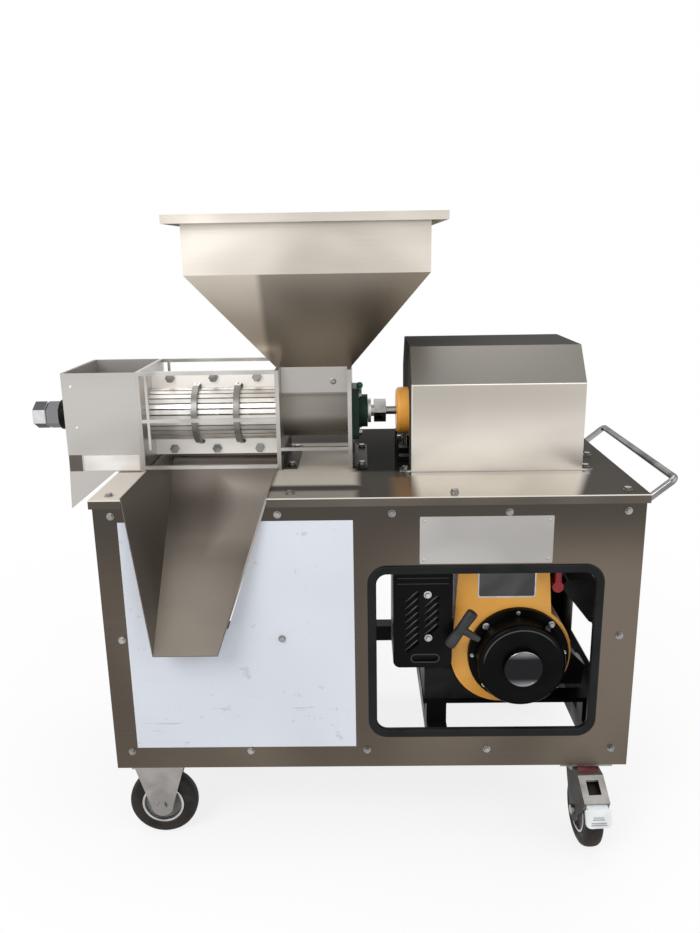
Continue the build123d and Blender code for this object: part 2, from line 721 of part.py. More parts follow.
def cage_half(side):
    """Half of the press cage: slats on two hoops, with a bolted flange above and below."""
    radius = BARREL_RADIUS + SLAT_DEPTH / 2
    length = FEED_PLATE_X - CAGE_LEFT
    middle = (FEED_PLATE_X + CAGE_LEFT) / 2
    hoop_inside = BARREL_RADIUS + SLAT_DEPTH - 1
    with BuildPart(level(0)) as half:
        for number in range(SLATS_PER_HALF):
            tilt = SLAT_STEP * (number - (SLATS_PER_HALF - 1) / 2)
            angle = math.radians(tilt)
            spot = (middle, side * radius * math.cos(angle), SHAFT_Z + radius * math.sin(angle))
            with Locations(Location(spot, (side * tilt, 0, 0))):
                Box(length, SLAT_DEPTH, SLAT_WIDTH)
        for x in HOOP_X:
            rod_x(x - HOOP_WIDTH / 2, x + HOOP_WIDTH / 2, HOOP_RADIUS)
            rod_x(x - HOOP_WIDTH / 2, x + HOOP_WIDTH / 2, hoop_inside, mode=Mode.SUBTRACT)
            for number in range(SLATS_PER_HALF):
                tilt = SLAT_STEP * (number - (SLATS_PER_HALF - 1) / 2)
                angle = math.radians(tilt)
                spot = (x, side * radius * math.cos(angle), SHAFT_Z + radius * math.sin(angle))
                with Locations(Location(spot, (side * tilt, 0, 0))):
                    Box(HOOP_WIDTH, SLAT_DEPTH, SLAT_WIDTH)
        for bottom in (BARREL_RADIUS + 1, -FLANGE_REACH):
            top = bottom + FLANGE_REACH - BARREL_RADIUS - 1
            front, back = sorted((0, side * FLANGE_THICK))
            block((CAGE_LEFT, front, SHAFT_Z + bottom), (FEED_PLATE_X, back, SHAFT_Z + top))
        for x in CAGE_BOLT_X:
            for reach in (-CAGE_BOLT_REACH, CAGE_BOLT_REACH):
                rod_y(-FLANGE_THICK, FLANGE_THICK, CAGE_BOLT_SHANK, x, SHAFT_Z + reach, Mode.SUBTRACT)
        front, back = sorted((0, -side * HOOP_RADIUS))
        block((CAGE_LEFT, front, 0), (FEED_PLATE_X, back, 2 * SHAFT_Z), Mode.SUBTRACT)
    return half


# Press cage: front and rear halves
CAGE_BOLT_SHANK = 5
cage_front = cage_half(-1)
save(cage_front, "cage_front")
cage_rear = cage_half(1)
save(cage_rear, "cage_rear")

# Cage bolts through both flanges, heads in front and nuts behind
CAGE_BOLT_ACROSS = 17
CAGE_BOLT_HEAD = 7
with BuildPart(level(0)) as cage_bolts:
    for x in CAGE_BOLT_X:
        for reach in (-CAGE_BOLT_REACH, CAGE_BOLT_REACH):
            z = SHAFT_Z + reach
            rod_y(-FLANGE_THICK, FLANGE_THICK, CAGE_BOLT_SHANK, x, z)
            hexagon(facing_front(-FLANGE_THICK), (x, z), CAGE_BOLT_ACROSS, CAGE_BOLT_HEAD)
            hexagon(facing_front(FLANGE_THICK + CAGE_BOLT_HEAD), (x, z), CAGE_BOLT_ACROSS, CAGE_BOLT_HEAD)
save(cage_bolts, "cage_bolts")

# Feed housing: a trough round the screw with a flange that carries the hopper's collar
HOUSING_OUTER = BARREL_RADIUS + HOUSING_WALL
with BuildPart(level(0)) as feed_housing:
    rod_x(FEED_LEFT, DRIVE_PLATE_X, HOUSING_OUTER)
    block((FEED_LEFT, -HOUSING_OUTER, SHAFT_Z), (DRIVE_PLATE_X, HOUSING_OUTER, COLLAR_Z))
    block((FEED_LEFT, -COLLAR_HALF, COLLAR_Z - COLLAR_FLANGE), (DRIVE_PLATE_X, COLLAR_HALF, COLLAR_Z))
    rod_x(FEED_LEFT, DRIVE_PLATE_X, BARREL_RADIUS, mode=Mode.SUBTRACT)
    block((FEED_LEFT, -BARREL_RADIUS, SHAFT_Z), (DRIVE_PLATE_X, BARREL_RADIUS, THROAT_Z), Mode.SUBTRACT)
    block((FEED_LEFT, -COLLAR_HALF, COLLAR_Z), (DRIVE_PLATE_X, COLLAR_HALF, THROAT_Z), Mode.SUBTRACT)
save(feed_housing, "feed_housing")


def hopper_form(shrink, mode):
    """Hopper body: collar, taper from the plates' tops and upright part, shrunk by a wall's thickness."""
    collar = (DRIVE_PLATE_X - FEED_LEFT - 1 - 2 * shrink, 2 * COLLAR_HALF - 2 * shrink)
    throat = (DRIVE_PLATE_X + PLATE - FEED_PLATE_X - 2 * shrink, 2 * COLLAR_HALF - 2 * shrink)
    body = (HOPPER_LENGTH - 2 * shrink, HOPPER_DEPTH - 2 * shrink)
    ledge = THROAT_Z + shrink
    block(
        (HOPPER_X - collar[0] / 2, -collar[1] / 2, COLLAR_Z),
        (HOPPER_X + collar[0] / 2, collar[1] / 2, ledge),
        mode,
    )
    with BuildSketch(level(ledge)) as narrow:
        with Locations((HOPPER_X, 0)):
            Rectangle(*throat)
    with BuildSketch(level(BEND_Z)) as wide:
        with Locations((HOPPER_X, 0)):
            Rectangle(*body)
    loft([narrow.sketch, wide.sketch], ruled=True, mode=mode)
    block(
        (HOPPER_X - body[0] / 2, -body[1] / 2, BEND_Z), (HOPPER_X + body[0] / 2, body[1] / 2, RIM_Z), mode
    )


# Hopper: sheet funnel with a folded rim; a ledge over its collar rests on the plates
RIM_HALF_LONG = HOPPER_LENGTH / 2 + RIM_OUT
RIM_HALF_DEEP = HOPPER_DEPTH / 2 + RIM_OUT
with BuildPart(level(0)) as hopper:
    block(
        (HOPPER_X - RIM_HALF_LONG, -RIM_HALF_DEEP, RIM_Z - RIM_LIP),
        (HOPPER_X + RIM_HALF_LONG, RIM_HALF_DEEP, RIM_Z),
    )
    block(
        (HOPPER_X - RIM_HALF_LONG + HOPPER_SHEET, HOPPER_SHEET - RIM_HALF_DEEP, RIM_Z - RIM_LIP),
        (HOPPER_X + RIM_HALF_LONG - HOPPER_SHEET, RIM_HALF_DEEP - HOPPER_SHEET, RIM_Z - HOPPER_SHEET),
        Mode.SUBTRACT,
    )
    hopper_form(0, Mode.ADD)
    hopper_form(HOPPER_SHEET, Mode.SUBTRACT)
save(hopper, "hopper")

# Flange bearing on the drive plate
BEARING_LEFT = DRIVE_PLATE_X + PLATE
FLANGE_RIGHT = BEARING_LEFT + BEARING_FLANGE
BEARING_ROUND = 14
with BuildPart(level(0)) as flange_bearing:
    with BuildSketch(facing_right(BEARING_LEFT)):
        with Locations((0, SHAFT_Z)):
            RectangleRounded(BEARING_SQUARE, BEARING_SQUARE, BEARING_ROUND)
    extrude(amount=BEARING_FLANGE)
    rod_x(FLANGE_RIGHT, BEARING_RIGHT, BEARING_BOSS)
    rod_x(BEARING_LEFT, BEARING_RIGHT, NECK_RADIUS + RUNNING_GAP, mode=Mode.SUBTRACT)
save(flange_bearing, "flange_bearing")

# Press screw: core with a helical flight, a tip at the left and a neck with a collar at the right
NECK_RIGHT = 10
FLIGHT_BURY = 2
FLIGHT_REACH = SCREW_RADIUS - SCREW_CORE + FLIGHT_BURY
FLIGHT_MIDDLE = SCREW_RADIUS - FLIGHT_REACH / 2
COLLAR_GAP = 0.5
STUB_LENGTH = 12.5
with BuildPart(level(0)) as press_screw:
    rod_x(SCREW_LEFT, DRIVE_PLATE_X - 1, SCREW_CORE)
    rod_x(TIP_LEFT, SCREW_LEFT, TIP_RADIUS)
    rod_x(DRIVE_PLATE_X - 1, NECK_RIGHT, NECK_RADIUS)
    rod_x(BEARING_RIGHT + COLLAR_GAP, NECK_RIGHT, COLLAR_RADIUS)
    rod_x(NECK_RIGHT, COUPLING_LEFT + STUB_LENGTH, TIP_RADIUS)
    with BuildLine() as flight_path:
        Helix(
            SCREW_PITCH,
            FLIGHT_RIGHT - FLIGHT_LEFT,
            FLIGHT_MIDDLE,
            center=(TABLE_X + FLIGHT_LEFT, SHAFT_Y, TABLE_HEIGHT + SHAFT_Z),
            direction=(1, 0, 0),
            lefthand=True,
        )
    flight_start = flight_path.line @ 0
    shaft_start = Vector(flight_start.X, SHAFT_Y, TABLE_HEIGHT + SHAFT_Z)
    flight_out = flight_start - shaft_start
    with BuildSketch(Plane(origin=flight_start, x_dir=flight_out, z_dir=flight_path.line % 0)):
        Rectangle(FLIGHT_REACH, FLIGHT_THICK)
    sweep(path=flight_path.line, is_frenet=True)
save(press_screw, "press_screw")

# Shaft coupling: a hexagonal sleeve over both shaft ends
COUPLING_SPLIT = COUPLING_LEFT + STUB_LENGTH
with BuildPart(level(0)) as shaft_coupling:
    hexagon(facing_right(COUPLING_LEFT), (0, SHAFT_Z), COUPLING_ACROSS, COUPLING_RIGHT - COUPLING_LEFT)
    rod_x(COUPLING_LEFT, COUPLING_SPLIT, TIP_RADIUS, mode=Mode.SUBTRACT)
    rod_x(COUPLING_SPLIT, COUPLING_RIGHT, OUTPUT_RADIUS, mode=Mode.SUBTRACT)
save(shaft_coupling, "shaft_coupling")

# Threaded boss on the cake box
with BuildPart(level(0)) as threaded_boss:
    rod_x(BOSS_LEFT, BOX_LEFT, BOSS_RADIUS)
    rod_x(BOSS_LEFT, BOX_LEFT, SLEEVE_RADIUS + RUNNING_GAP, mode=Mode.SUBTRACT)
save(threaded_boss, "threaded_boss")

# Pressure cone with the threaded sleeve that carries it; the screw's tip runs in its bore
TIP_ROOM = 12
with BuildPart(level(0)) as pressure_cone:
    with Locations(((CONE_LEFT + CONE_RIGHT) / 2, 0, SHAFT_Z)):
        Cone(CONE_LARGE, CONE_SMALL, CONE_RIGHT - CONE_LEFT, rotation=(0, 90, 0))
    rod_x(NUT_LEFT + NUT_ROUND, CONE_LEFT, SLEEVE_RADIUS)
    rod_x(TIP_LEFT - TIP_ROOM, CONE_RIGHT, TIP_RADIUS + RUNNING_GAP, mode=Mode.SUBTRACT)
save(pressure_cone, "pressure_cone")

# Adjusting nut and lock nut, tight against each other on the sleeve
NUT_RIGHT = BOSS_LEFT - NUT_GAP
NUT_SPLIT = (NUT_LEFT + NUT_RIGHT) / 2
NUT_SEAM = 1
NUT_LONG = NUT_SPLIT - NUT_LEFT - NUT_SEAM / 2
with BuildPart(level(0)) as adjusting_nuts:
    for left in (NUT_LEFT, NUT_SPLIT + NUT_SEAM / 2):
        hexagon(facing_right(left), (0, SHAFT_Z), NUT_ACROSS, NUT_LONG, NUT_TURN)
    chamfer(adjusting_nuts.faces().filter_by(Axis.X).edges(), NUT_ROUND / 2)
    rod_x(NUT_LEFT, NUT_RIGHT, SLEEVE_RADIUS + RUNNING_GAP, mode=Mode.SUBTRACT)
save(adjusting_nuts, "adjusting_nuts")

# Reducer base: black feet that lift the reducer off the table
BASE_LEFT = 110
BASE_RIGHT = 230
BASE_HALF = 52
BASE_RAIL = 26
with BuildPart(level(0)) as reducer_base:
    for front in (-BASE_HALF, BASE_HALF - BASE_RAIL):
        block((NOSE_LEFT, front, 0), (BASE_RIGHT, front + BASE_RAIL, BASE_THICK))
        block((NOSE_LEFT, front, BASE_THICK), (NOSE_LEFT + FOOT_THICK, front + BASE_RAIL, WORM_Z))
save(reducer_base, "reducer_base")

# Reducer housing: wheel case, worm tube and foot, with room for both gears
ROOM_LEFT = 150
ROOM_RIGHT = 190
WORM_ROOM_HALF = 64
with BuildPart(level(0)) as reducer_housing:
    rod_x(NOSE_RIGHT, CASE_RIGHT, CASE_RADIUS)
    rod_y(-WORM_TUBE_HALF, WORM_TUBE_HALF, WORM_TUBE, WHEEL_X, WORM_Z)
    block((BASE_LEFT, -BASE_HALF, BASE_THICK), (BASE_RIGHT, BASE_HALF, BASE_FOOT))
    rod_x(NOSE_RIGHT, ROOM_RIGHT, WHEEL_ROOM, mode=Mode.SUBTRACT)
    rod_x(ROOM_RIGHT, CASE_RIGHT - PLATE, OUTPUT_RADIUS + RUNNING_GAP, mode=Mode.SUBTRACT)
    rod_y(-WORM_ROOM_HALF, WORM_ROOM_HALF, WORM_ROOM, WHEEL_X, WORM_Z, Mode.SUBTRACT)
    rod_y(WORM_ROOM_HALF, WORM_TUBE_HALF, WORM_SHAFT + RUNNING_GAP, WHEEL_X, WORM_Z, Mode.SUBTRACT)
save(reducer_housing, "reducer_housing")

# Reducer nose: the round cover that carries the output shaft
NOSE_ROUND = 8
with BuildPart(level(0)) as reducer_nose:
    rod_x(NOSE_LEFT, NOSE_RIGHT, NOSE_RADIUS)
    fillet(reducer_nose.edges().filter_by(GeomType.CIRCLE).sort_by(Axis.X)[0], NOSE_ROUND)
    rod_x(NOSE_RIGHT, ROOM_LEFT, WHEEL_ROOM)
    rod_x(NOSE_LEFT, ROOM_LEFT, OUTPUT_RADIUS + RUNNING_GAP, mode=Mode.SUBTRACT)
    rod_y(-WORM_ROOM_HALF, WORM_ROOM_HALF, WORM_ROOM + 1, WHEEL_X, WORM_Z, Mode.SUBTRACT)
save(reducer_nose, "reducer_nose")

# Worm wheel on the output shaft
with BuildPart(level(0)) as worm_wheel:
    rod_x(WHEEL_X - WHEEL_WIDTH_X / 2, WHEEL_X + WHEEL_WIDTH_X / 2, WHEEL_OUTER)
    for number in range(WHEEL_TEETH):
        angle = 2 * math.pi * (number + 0.5) / WHEEL_TEETH
        spot = (WHEEL_X, WHEEL_OUTER * math.cos(angle), SHAFT_Z + WHEEL_OUTER * math.sin(angle))
        with Locations(Location(spot, (math.degrees(angle), 0, 0))):
            Box(WHEEL_WIDTH_X, 2 * TOOTH_DEPTH, TOOTH_GAP, mode=Mode.SUBTRACT)
    rod_x(COUPLING_SPLIT, CASE_RIGHT - PLATE - 1, OUTPUT_RADIUS)
save(worm_wheel, "worm_wheel")

# Worm shaft: a single-start thread on a shaft that comes out at the back
THREAD_HALF = 28
THREAD_THICK = 3.2
THREAD_BURY = 1.5
THREAD_REACH = WORM_OUTER - WORM_CORE + THREAD_BURY
THREAD_MIDDLE = WORM_OUTER - THREAD_REACH / 2
with BuildPart(level(0)) as worm_shaft:
    rod_y(-WORM_ROOM_HALF + 1, WORM_ROOM_HALF - 1, WORM_CORE, WHEEL_X, WORM_Z)
    rod_y(WORM_ROOM_HALF - 1, BELT_Y + PULLEY_WIDTH / 2, WORM_SHAFT, WHEEL_X, WORM_Z)
    with BuildLine() as thread_path:
        Helix(
            WORM_PITCH,
            2 * THREAD_HALF,
            THREAD_MIDDLE,
            center=(TABLE_X + WHEEL_X, SHAFT_Y - THREAD_HALF, TABLE_HEIGHT + WORM_Z),
            direction=(0, 1, 0),
        )
    thread_start = thread_path.line @ 0
    worm_start = Vector(TABLE_X + WHEEL_X, thread_start.Y, TABLE_HEIGHT + WORM_Z)
    thread_out = thread_start - worm_start
    with BuildSketch(Plane(origin=thread_start, x_dir=thread_out, z_dir=thread_path.line % 0)):
        Rectangle(THREAD_REACH, THREAD_THICK)
    sweep(path=thread_path.line, is_frenet=True)
save(worm_shaft, "worm_shaft")


def pulley(radius, bore, x, z):
    """Grooved pulley in the belt's plane."""
    front = BELT_Y - PULLEY_WIDTH / 2
    back = BELT_Y + PULLEY_WIDTH / 2
    with BuildPart(level(0)) as wheel:
        rod_y(front, BELT_Y - GROOVE_WIDTH / 2, radius, x, z)
        rod_y(BELT_Y - GROOVE_WIDTH / 2, BELT_Y + GROOVE_WIDTH / 2, radius - GROOVE_DEPTH, x, z)
        rod_y(BELT_Y + GROOVE_WIDTH / 2, back, radius, x, z)
        rod_y(front, back, bore, x, z, Mode.SUBTRACT)
    return wheel


# Driven pulley on the worm shaft and drive pulley on the engine's shaft
driven_pulley = pulley(DRIVEN_RADIUS, WORM_SHAFT, WHEEL_X, WORM_Z)
save(driven_pulley, "driven_pulley")
drive_pulley = pulley(DRIVER_RADIUS, CRANK_RADIUS, CRANK_X, CRANK_Z)
save(drive_pulley, "drive_pulley")


def belt_loop(grow, mode):
    """Loop round both pulleys, grown outward from the bottom of their grooves."""
    with BuildSketch(facing_front(BELT_Y + BELT_WIDTH / 2)) as loop:
        with Locations((WHEEL_X, WORM_Z)):
            Circle(DRIVEN_RADIUS - GROOVE_DEPTH + grow)
        with Locations((CRANK_X, CRANK_Z)):
            Circle(DRIVER_RADIUS - GROOVE_DEPTH + grow)
        make_hull()
    extrude(loop.sketch, amount=BELT_WIDTH, mode=mode)


# Drive belt from the engine up through the table slot
with BuildPart() as drive_belt:
    belt_loop(GROOVE_GAP + BELT_THICK, Mode.ADD)
    belt_loop(GROOVE_GAP, Mode.SUBTRACT)
save(drive_belt, "drive_belt")


def hood_outline(shrink):
    """Cross-section of the hood: upright sides, two slopes and a flat top."""
    return (
        (HOOD_FRONT + shrink, 0),
        (HOOD_FRONT + shrink, HOOD_BEND - shrink / 2),
        (HOOD_TOP_FRONT + shrink / 2, HOOD_TOP - shrink),
        (HOOD_TOP_BACK - shrink / 2, HOOD_TOP - shrink),
        (HOOD_BACK - shrink, HOOD_BEND - shrink / 2),
        (HOOD_BACK - shrink, 0),
    )


# Hood: folded sheet with closed ends, an arch for the reducer's nose and bolted tabs
HOOD_LENGTH = HOOD_RIGHT - HOOD_LEFT
TAB_FRONTS = (HOOD_FRONT + 6, HOOD_BACK - 6 - TAB_WIDE)
with BuildPart(level(0)) as hood:
    plate(facing_right(HOOD_LEFT), hood_outline(0), HOOD_LENGTH)
    plate(
        facing_right(HOOD_LEFT + HOOD_SHEET),
        hood_outline(HOOD_SHEET),
        HOOD_LENGTH - 2 * HOOD_SHEET,
        Mode.SUBTRACT,
    )
    block((HOOD_LEFT, -HOOD_ARCH, 0), (HOOD_LEFT + HOOD_SHEET, HOOD_ARCH, SHAFT_Z), Mode.SUBTRACT)
    rod_x(HOOD_LEFT, HOOD_LEFT + HOOD_SHEET, HOOD_ARCH, mode=Mode.SUBTRACT)
    for front in TAB_FRONTS:
        block((HOOD_LEFT - TAB_OUT, front, 0), (HOOD_LEFT, front + TAB_WIDE, HOOD_SHEET))
        block((HOOD_RIGHT, front, 0), (HOOD_RIGHT + TAB_OUT, front + TAB_WIDE, HOOD_SHEET))
save(hood, "hood")

# Frame bolts: hexagonal heads with washers on the table, the feet, the hood's tabs and the bearing
BOLT_ACROSS = 12
BOLT_HEAD = 4.5
BOLT_WASHER = 8
BOLT_WASHER_THICK = 1.6
TABLE_BOLT_Y = (-271, 254)
TABLE_BOLT_X = (-470, -141, 156, 467)
TABLE_BOLT_SIDE = (464, -11)
FOOT_BOLT_Y = (-76, 74)
FOOT_BOLT_IN = 19
FOOT_BOLT_X = [x + FOOT_BOLT_IN for x in FOOT_X] + [CAGE_PLATE_X - FOOT_BOLT_IN]
TAB_BOLT_IN = 11
TAB_BOLT_X = (HOOD_LEFT - TAB_BOLT_IN, HOOD_RIGHT + TAB_BOLT_IN)


def frame_bolt(plane, middle):
    """Bolt head on its washer."""
    disc(plane, middle, BOLT_WASHER, BOLT_WASHER_THICK)
    hexagon(plane.offset(BOLT_WASHER_THICK), middle, BOLT_ACROSS, BOLT_HEAD)


with BuildPart() as frame_bolts:
    for x in TABLE_BOLT_X:
        for y in TABLE_BOLT_Y:
            frame_bolt(level(0), (x, y))
    frame_bolt(level(0), TABLE_BOLT_SIDE)
    for x in FOOT_BOLT_X:
        for y in FOOT_BOLT_Y:
            frame_bolt(level(FOOT_THICK), (x, y))
    for x in TAB_BOLT_X:
        for front in TAB_FRONTS:
            frame_bolt(level(HOOD_SHEET), (x, front + TAB_WIDE / 2))
    for y in (-BEARING_BOLT, BEARING_BOLT):
        for z in (SHAFT_Z - BEARING_BOLT, SHAFT_Z + BEARING_BOLT):
            frame_bolt(facing_right(FLANGE_RIGHT), (y, z))
save(frame_bolts, "frame_bolts")

# Crankcase: hollow casting with bearings for the crank at both ends and a foot at each side
CASE_ROUND = 14
FOOT_LEFT = 110
FOOT_FRONT = -203
FOOT_INNER = 232
FOOT_GAP = 3
FOOT_TOP = -390
FOOT_BACK = -10
SIDE_FOOT = ((352, ENGINE_BASE), (440, ENGINE_BASE), (446, -412), (408, -376), (385, -376))
SIDE_FOOT_DEEP = 42
SHROUD_ROUNDS = (
    (SCROLL_RADIUS, CRANK_X, CRANK_Z),
    (SCROLL_SIDE_RADIUS, CRANK_X + SCROLL_SIDE_X, CRANK_Z + SCROLL_SIDE_Z),
)
SIDE_FOOT_BACK = -60
SIDE_FOOT_RIGHT = 440
SIDE_FOOT_TOP = -400
with BuildPart(level(0)) as crankcase:
    block(
        (CRANK_X - CASE_HALF, CASE_FRONT, ENGINE_BASE), (CRANK_X + CASE_HALF, CASE_BACK, CASE_TOP)
    )
    fillet(crankcase.edges().filter_by(Axis.Y), CASE_ROUND)
    block(
        (CRANK_X - CASE_HALF + CASE_WALL, CASE_FRONT + CASE_WALL, ENGINE_BASE + CASE_WALL),
        (CRANK_X + CASE_HALF - CASE_WALL, CASE_BACK - CASE_WALL, CASE_TOP - CASE_WALL),
        Mode.SUBTRACT,
    )
    block((FOOT_LEFT, FOOT_FRONT, ENGINE_BASE), (FOOT_INNER, CASE_FRONT + 2, FOOT_TOP))
    block((FOOT_LEFT, CASE_FRONT + 2, ENGINE_BASE), (CRANK_X - CASE_HALF + 1, FOOT_BACK, FOOT_TOP))
    plate(facing_front(CASE_FRONT + 2), SIDE_FOOT, SIDE_FOOT_DEEP)
    for radius, x, z in SHROUD_ROUNDS:
        rod_y(FOOT_FRONT, CASE_FRONT, radius + FOOT_GAP, x, z, Mode.SUBTRACT)
    block(
        (CRANK_X + CASE_HALF - 1, CASE_FRONT + 2, ENGINE_BASE),
        (SIDE_FOOT_RIGHT, SIDE_FOOT_BACK, SIDE_FOOT_TOP),
    )
    rod_y(CASE_FRONT, CASE_BACK, CRANK_RADIUS + RUNNING_GAP, CRANK_X, CRANK_Z, Mode.SUBTRACT)
save(crankcase, "crankcase")

# Cylinder with its cooling fins
CYLINDER_HALF = 60
CYLINDER_FRONT = -104
CYLINDER_BACK = 50
CYLINDER_BORE = 32
FIN_COUNT = 6
FIN_GAP = 7
FIN_DEPTH = 12
FIN_STEP = (CYLINDER_TOP - CASE_TOP) / FIN_COUNT
CYLINDER_MIDDLE = (CYLINDER_FRONT + CYLINDER_BACK) / 2
with BuildPart(level(0)) as cylinder:
    block(
        (CRANK_X - CYLINDER_HALF, CYLINDER_FRONT, CASE_TOP),
        (CRANK_X + CYLINDER_HALF, CYLINDER_BACK, CYLINDER_TOP),
    )
    for number in range(1, FIN_COUNT):
        bottom = CASE_TOP + number * FIN_STEP - FIN_GAP / 2
        top = bottom + FIN_GAP
        for left in (CRANK_X - CYLINDER_HALF, CRANK_X + CYLINDER_HALF - FIN_DEPTH):
            block((left, CYLINDER_FRONT, bottom), (left + FIN_DEPTH, CYLINDER_BACK, top), Mode.SUBTRACT)
        block(
            (CRANK_X - CYLINDER_HALF, CYLINDER_BACK - FIN_DEPTH, bottom),
            (CRANK_X + CYLINDER_HALF, CYLINDER_BACK, top),
            Mode.SUBTRACT,
        )
    rod_z(CASE_TOP, CYLINDER_TOP - CASE_ROUND, CYLINDER_BORE, CRANK_X, CYLINDER_MIDDLE, Mode.SUBTRACT)
save(cylinder, "cylinder")

# Crankshaft with its webs; the flywheel sits in front, the belt end at the back
WEB_RADIUS = 55
WEB_THICK = 20
WEB_FRONTS = (-52, 8)
FLYWHEEL_FRONT = -172
FLYWHEEL_BACK = -122
with BuildPart(level(0)) as crankshaft:
    rod_y(FLYWHEEL_FRONT, BELT_Y + PULLEY_WIDTH / 2, CRANK_RADIUS, CRANK_X, CRANK_Z)
    for front in WEB_FRONTS:
        rod_y(front, front + WEB_THICK, WEB_RADIUS, CRANK_X, CRANK_Z)
save(crankshaft, "crankshaft")

# Flywheel with fan blades on its front
BLADE_COUNT = 12
BLADE_LONG = 26
BLADE_THICK = 4
FLYWHEEL_DISC = 22
with BuildPart(level(0)) as flywheel:
    rod_y(FLYWHEEL_BACK - FLYWHEEL_DISC, FLYWHEEL_BACK, FLYWHEEL_RADIUS, CRANK_X, CRANK_Z)
    blade_middle = (FLYWHEEL_FRONT + FLYWHEEL_BACK - FLYWHEEL_DISC) / 2
    blade_ring = FLYWHEEL_RADIUS - BLADE_LONG / 2 - 1
    for number in range(BLADE_COUNT):
        turn = 360 / BLADE_COUNT * number
        angle = math.radians(turn)
        spot = (CRANK_X + blade_ring * math.cos(angle), blade_middle, CRANK_Z + blade_ring * math.sin(angle))
        with Locations(Location(spot, (0, -turn, 0))):
            Box(BLADE_LONG, FLYWHEEL_BACK - FLYWHEEL_DISC - FLYWHEEL_FRONT, BLADE_THICK)
    rod_y(FLYWHEEL_FRONT, FLYWHEEL_BACK, CRANK_RADIUS, CRANK_X, CRANK_Z, Mode.SUBTRACT)
save(flywheel, "flywheel")


def shroud_outline(shrink):
    """Outline of the blower housing: a scroll round the crank and a neck up over the cylinder."""
    for radius, x, z in SHROUD_ROUNDS:
        with Locations((x, z)):
            Circle(radius - shrink)
    Polygon(
        (NECK_FOOT_LEFT + shrink, NECK_FOOT_Z),
        (NECK_TOP_LEFT + shrink, NECK_TOP_Z - shrink),
        (NECK_TOP_RIGHT - shrink, NECK_TOP_Z - shrink),
        (NECK_FOOT_RIGHT - shrink, NECK_FOOT_Z),
        align=None,
    )


# Blower housing: a shell over the flywheel, open at the back
with BuildPart() as blower_housing:
    with BuildSketch(facing_front(CASE_FRONT)) as shroud_outer:
        shroud_outline(0)
    extrude(shroud_outer.sketch, amount=CASE_FRONT - SHROUD_FRONT)
    with BuildSketch(facing_front(CASE_FRONT)) as shroud_inner:
        shroud_outline(SHROUD_WALL)
    extrude(shroud_inner.sketch, amount=CASE_FRONT - SHROUD_FRONT - SHROUD_WALL, mode=Mode.SUBTRACT)
    shroud_face = facing_front(SHROUD_FRONT + SHROUD_WALL)
    disc(shroud_face, (CRANK_X, CRANK_Z), RECOIL_DISC, SHROUD_WALL, Mode.SUBTRACT)
save(blower_housing, "blower_housing")

# Recoil housing: a flange, a drum with a rounded edge and a raised disc in its middle
RING_FRONT = SHROUD_FRONT - RECOIL_RING_DEEP
DISC_FRONT = RING_FRONT - RECOIL_DISC_DEEP
NOSE_FRONT = DISC_FRONT - RECOIL_NOSE_DEEP
with BuildPart(level(0)) as recoil_housing:
    rod_y(DISC_FRONT, SHROUD_FRONT, RECOIL_DISC, CRANK_X, CRANK_Z)
    fillet(recoil_housing.edges().group_by(Axis.Y)[0], RECOIL_ROUND)
    rod_y(RING_FRONT, SHROUD_FRONT, RECOIL_RING, CRANK_X, CRANK_Z)
    rod_y(NOSE_FRONT, DISC_FRONT, RECOIL_NOSE, CRANK_X, CRANK_Z)
    fillet(recoil_housing.edges().group_by(Axis.Y)[0], RECOIL_WALL)
    rod_y(
        DISC_FRONT + RECOIL_ROUND + RECOIL_WALL, SHROUD_FRONT, RECOIL_DISC - RECOIL_WALL, CRANK_X, CRANK_Z,
        Mode.SUBTRACT,
    )
    rod_y(DISC_FRONT + RECOIL_WALL, SHROUD_FRONT, RECOIL_DISC - RECOIL_ROUND, CRANK_X, CRANK_Z, Mode.SUBTRACT)
save(recoil_housing, "recoil_housing")

# Recoil reel: a grooved drum that winds the starter rope
REEL_RADIUS = 60
REEL_CORE = 50
REEL_FRONT = DISC_FRONT + RECOIL_WALL + 3
REEL_SIDE = 4
REEL_ROOM = 14
with BuildPart(level(0)) as recoil_reel:
    for front in (REEL_FRONT, REEL_FRONT + REEL_SIDE + REEL_ROOM):
        rod_y(front, front + REEL_SIDE, REEL_RADIUS, CRANK_X, CRANK_Z)
    rod_y(REEL_FRONT + REEL_SIDE, REEL_FRONT + REEL_SIDE + REEL_ROOM, REEL_CORE, CRANK_X, CRANK_Z)
save(recoil_reel, "recoil_reel")

# Starter grip: a rounded bar across its stem, aimed at the recoil housing's rim
GRIP_LEAN = 33
GRIP_ROUND = 5
STEM_RADIUS = 8
STEM_LENGTH = 42
stem_fall = math.radians(GRIP_LEAN)
with BuildPart(level(0)) as starter_grip:
    with Locations(Location((GRIP_X, GRIP_Y, GRIP_Z), (0, GRIP_LEAN, 0))):
        Cylinder(GRIP_RADIUS, GRIP_LENGTH)
    fillet(starter_grip.edges(), GRIP_ROUND)
    stem_spot = (
        GRIP_X + STEM_LENGTH / 2 * math.cos(stem_fall), GRIP_Y, GRIP_Z - STEM_LENGTH / 2 * math.sin(stem_fall)
    )
    with Locations(Location(stem_spot, (0, 90 + GRIP_LEAN, 0))):
        Cylinder(STEM_RADIUS, STEM_LENGTH)
save(starter_grip, "starter_grip")

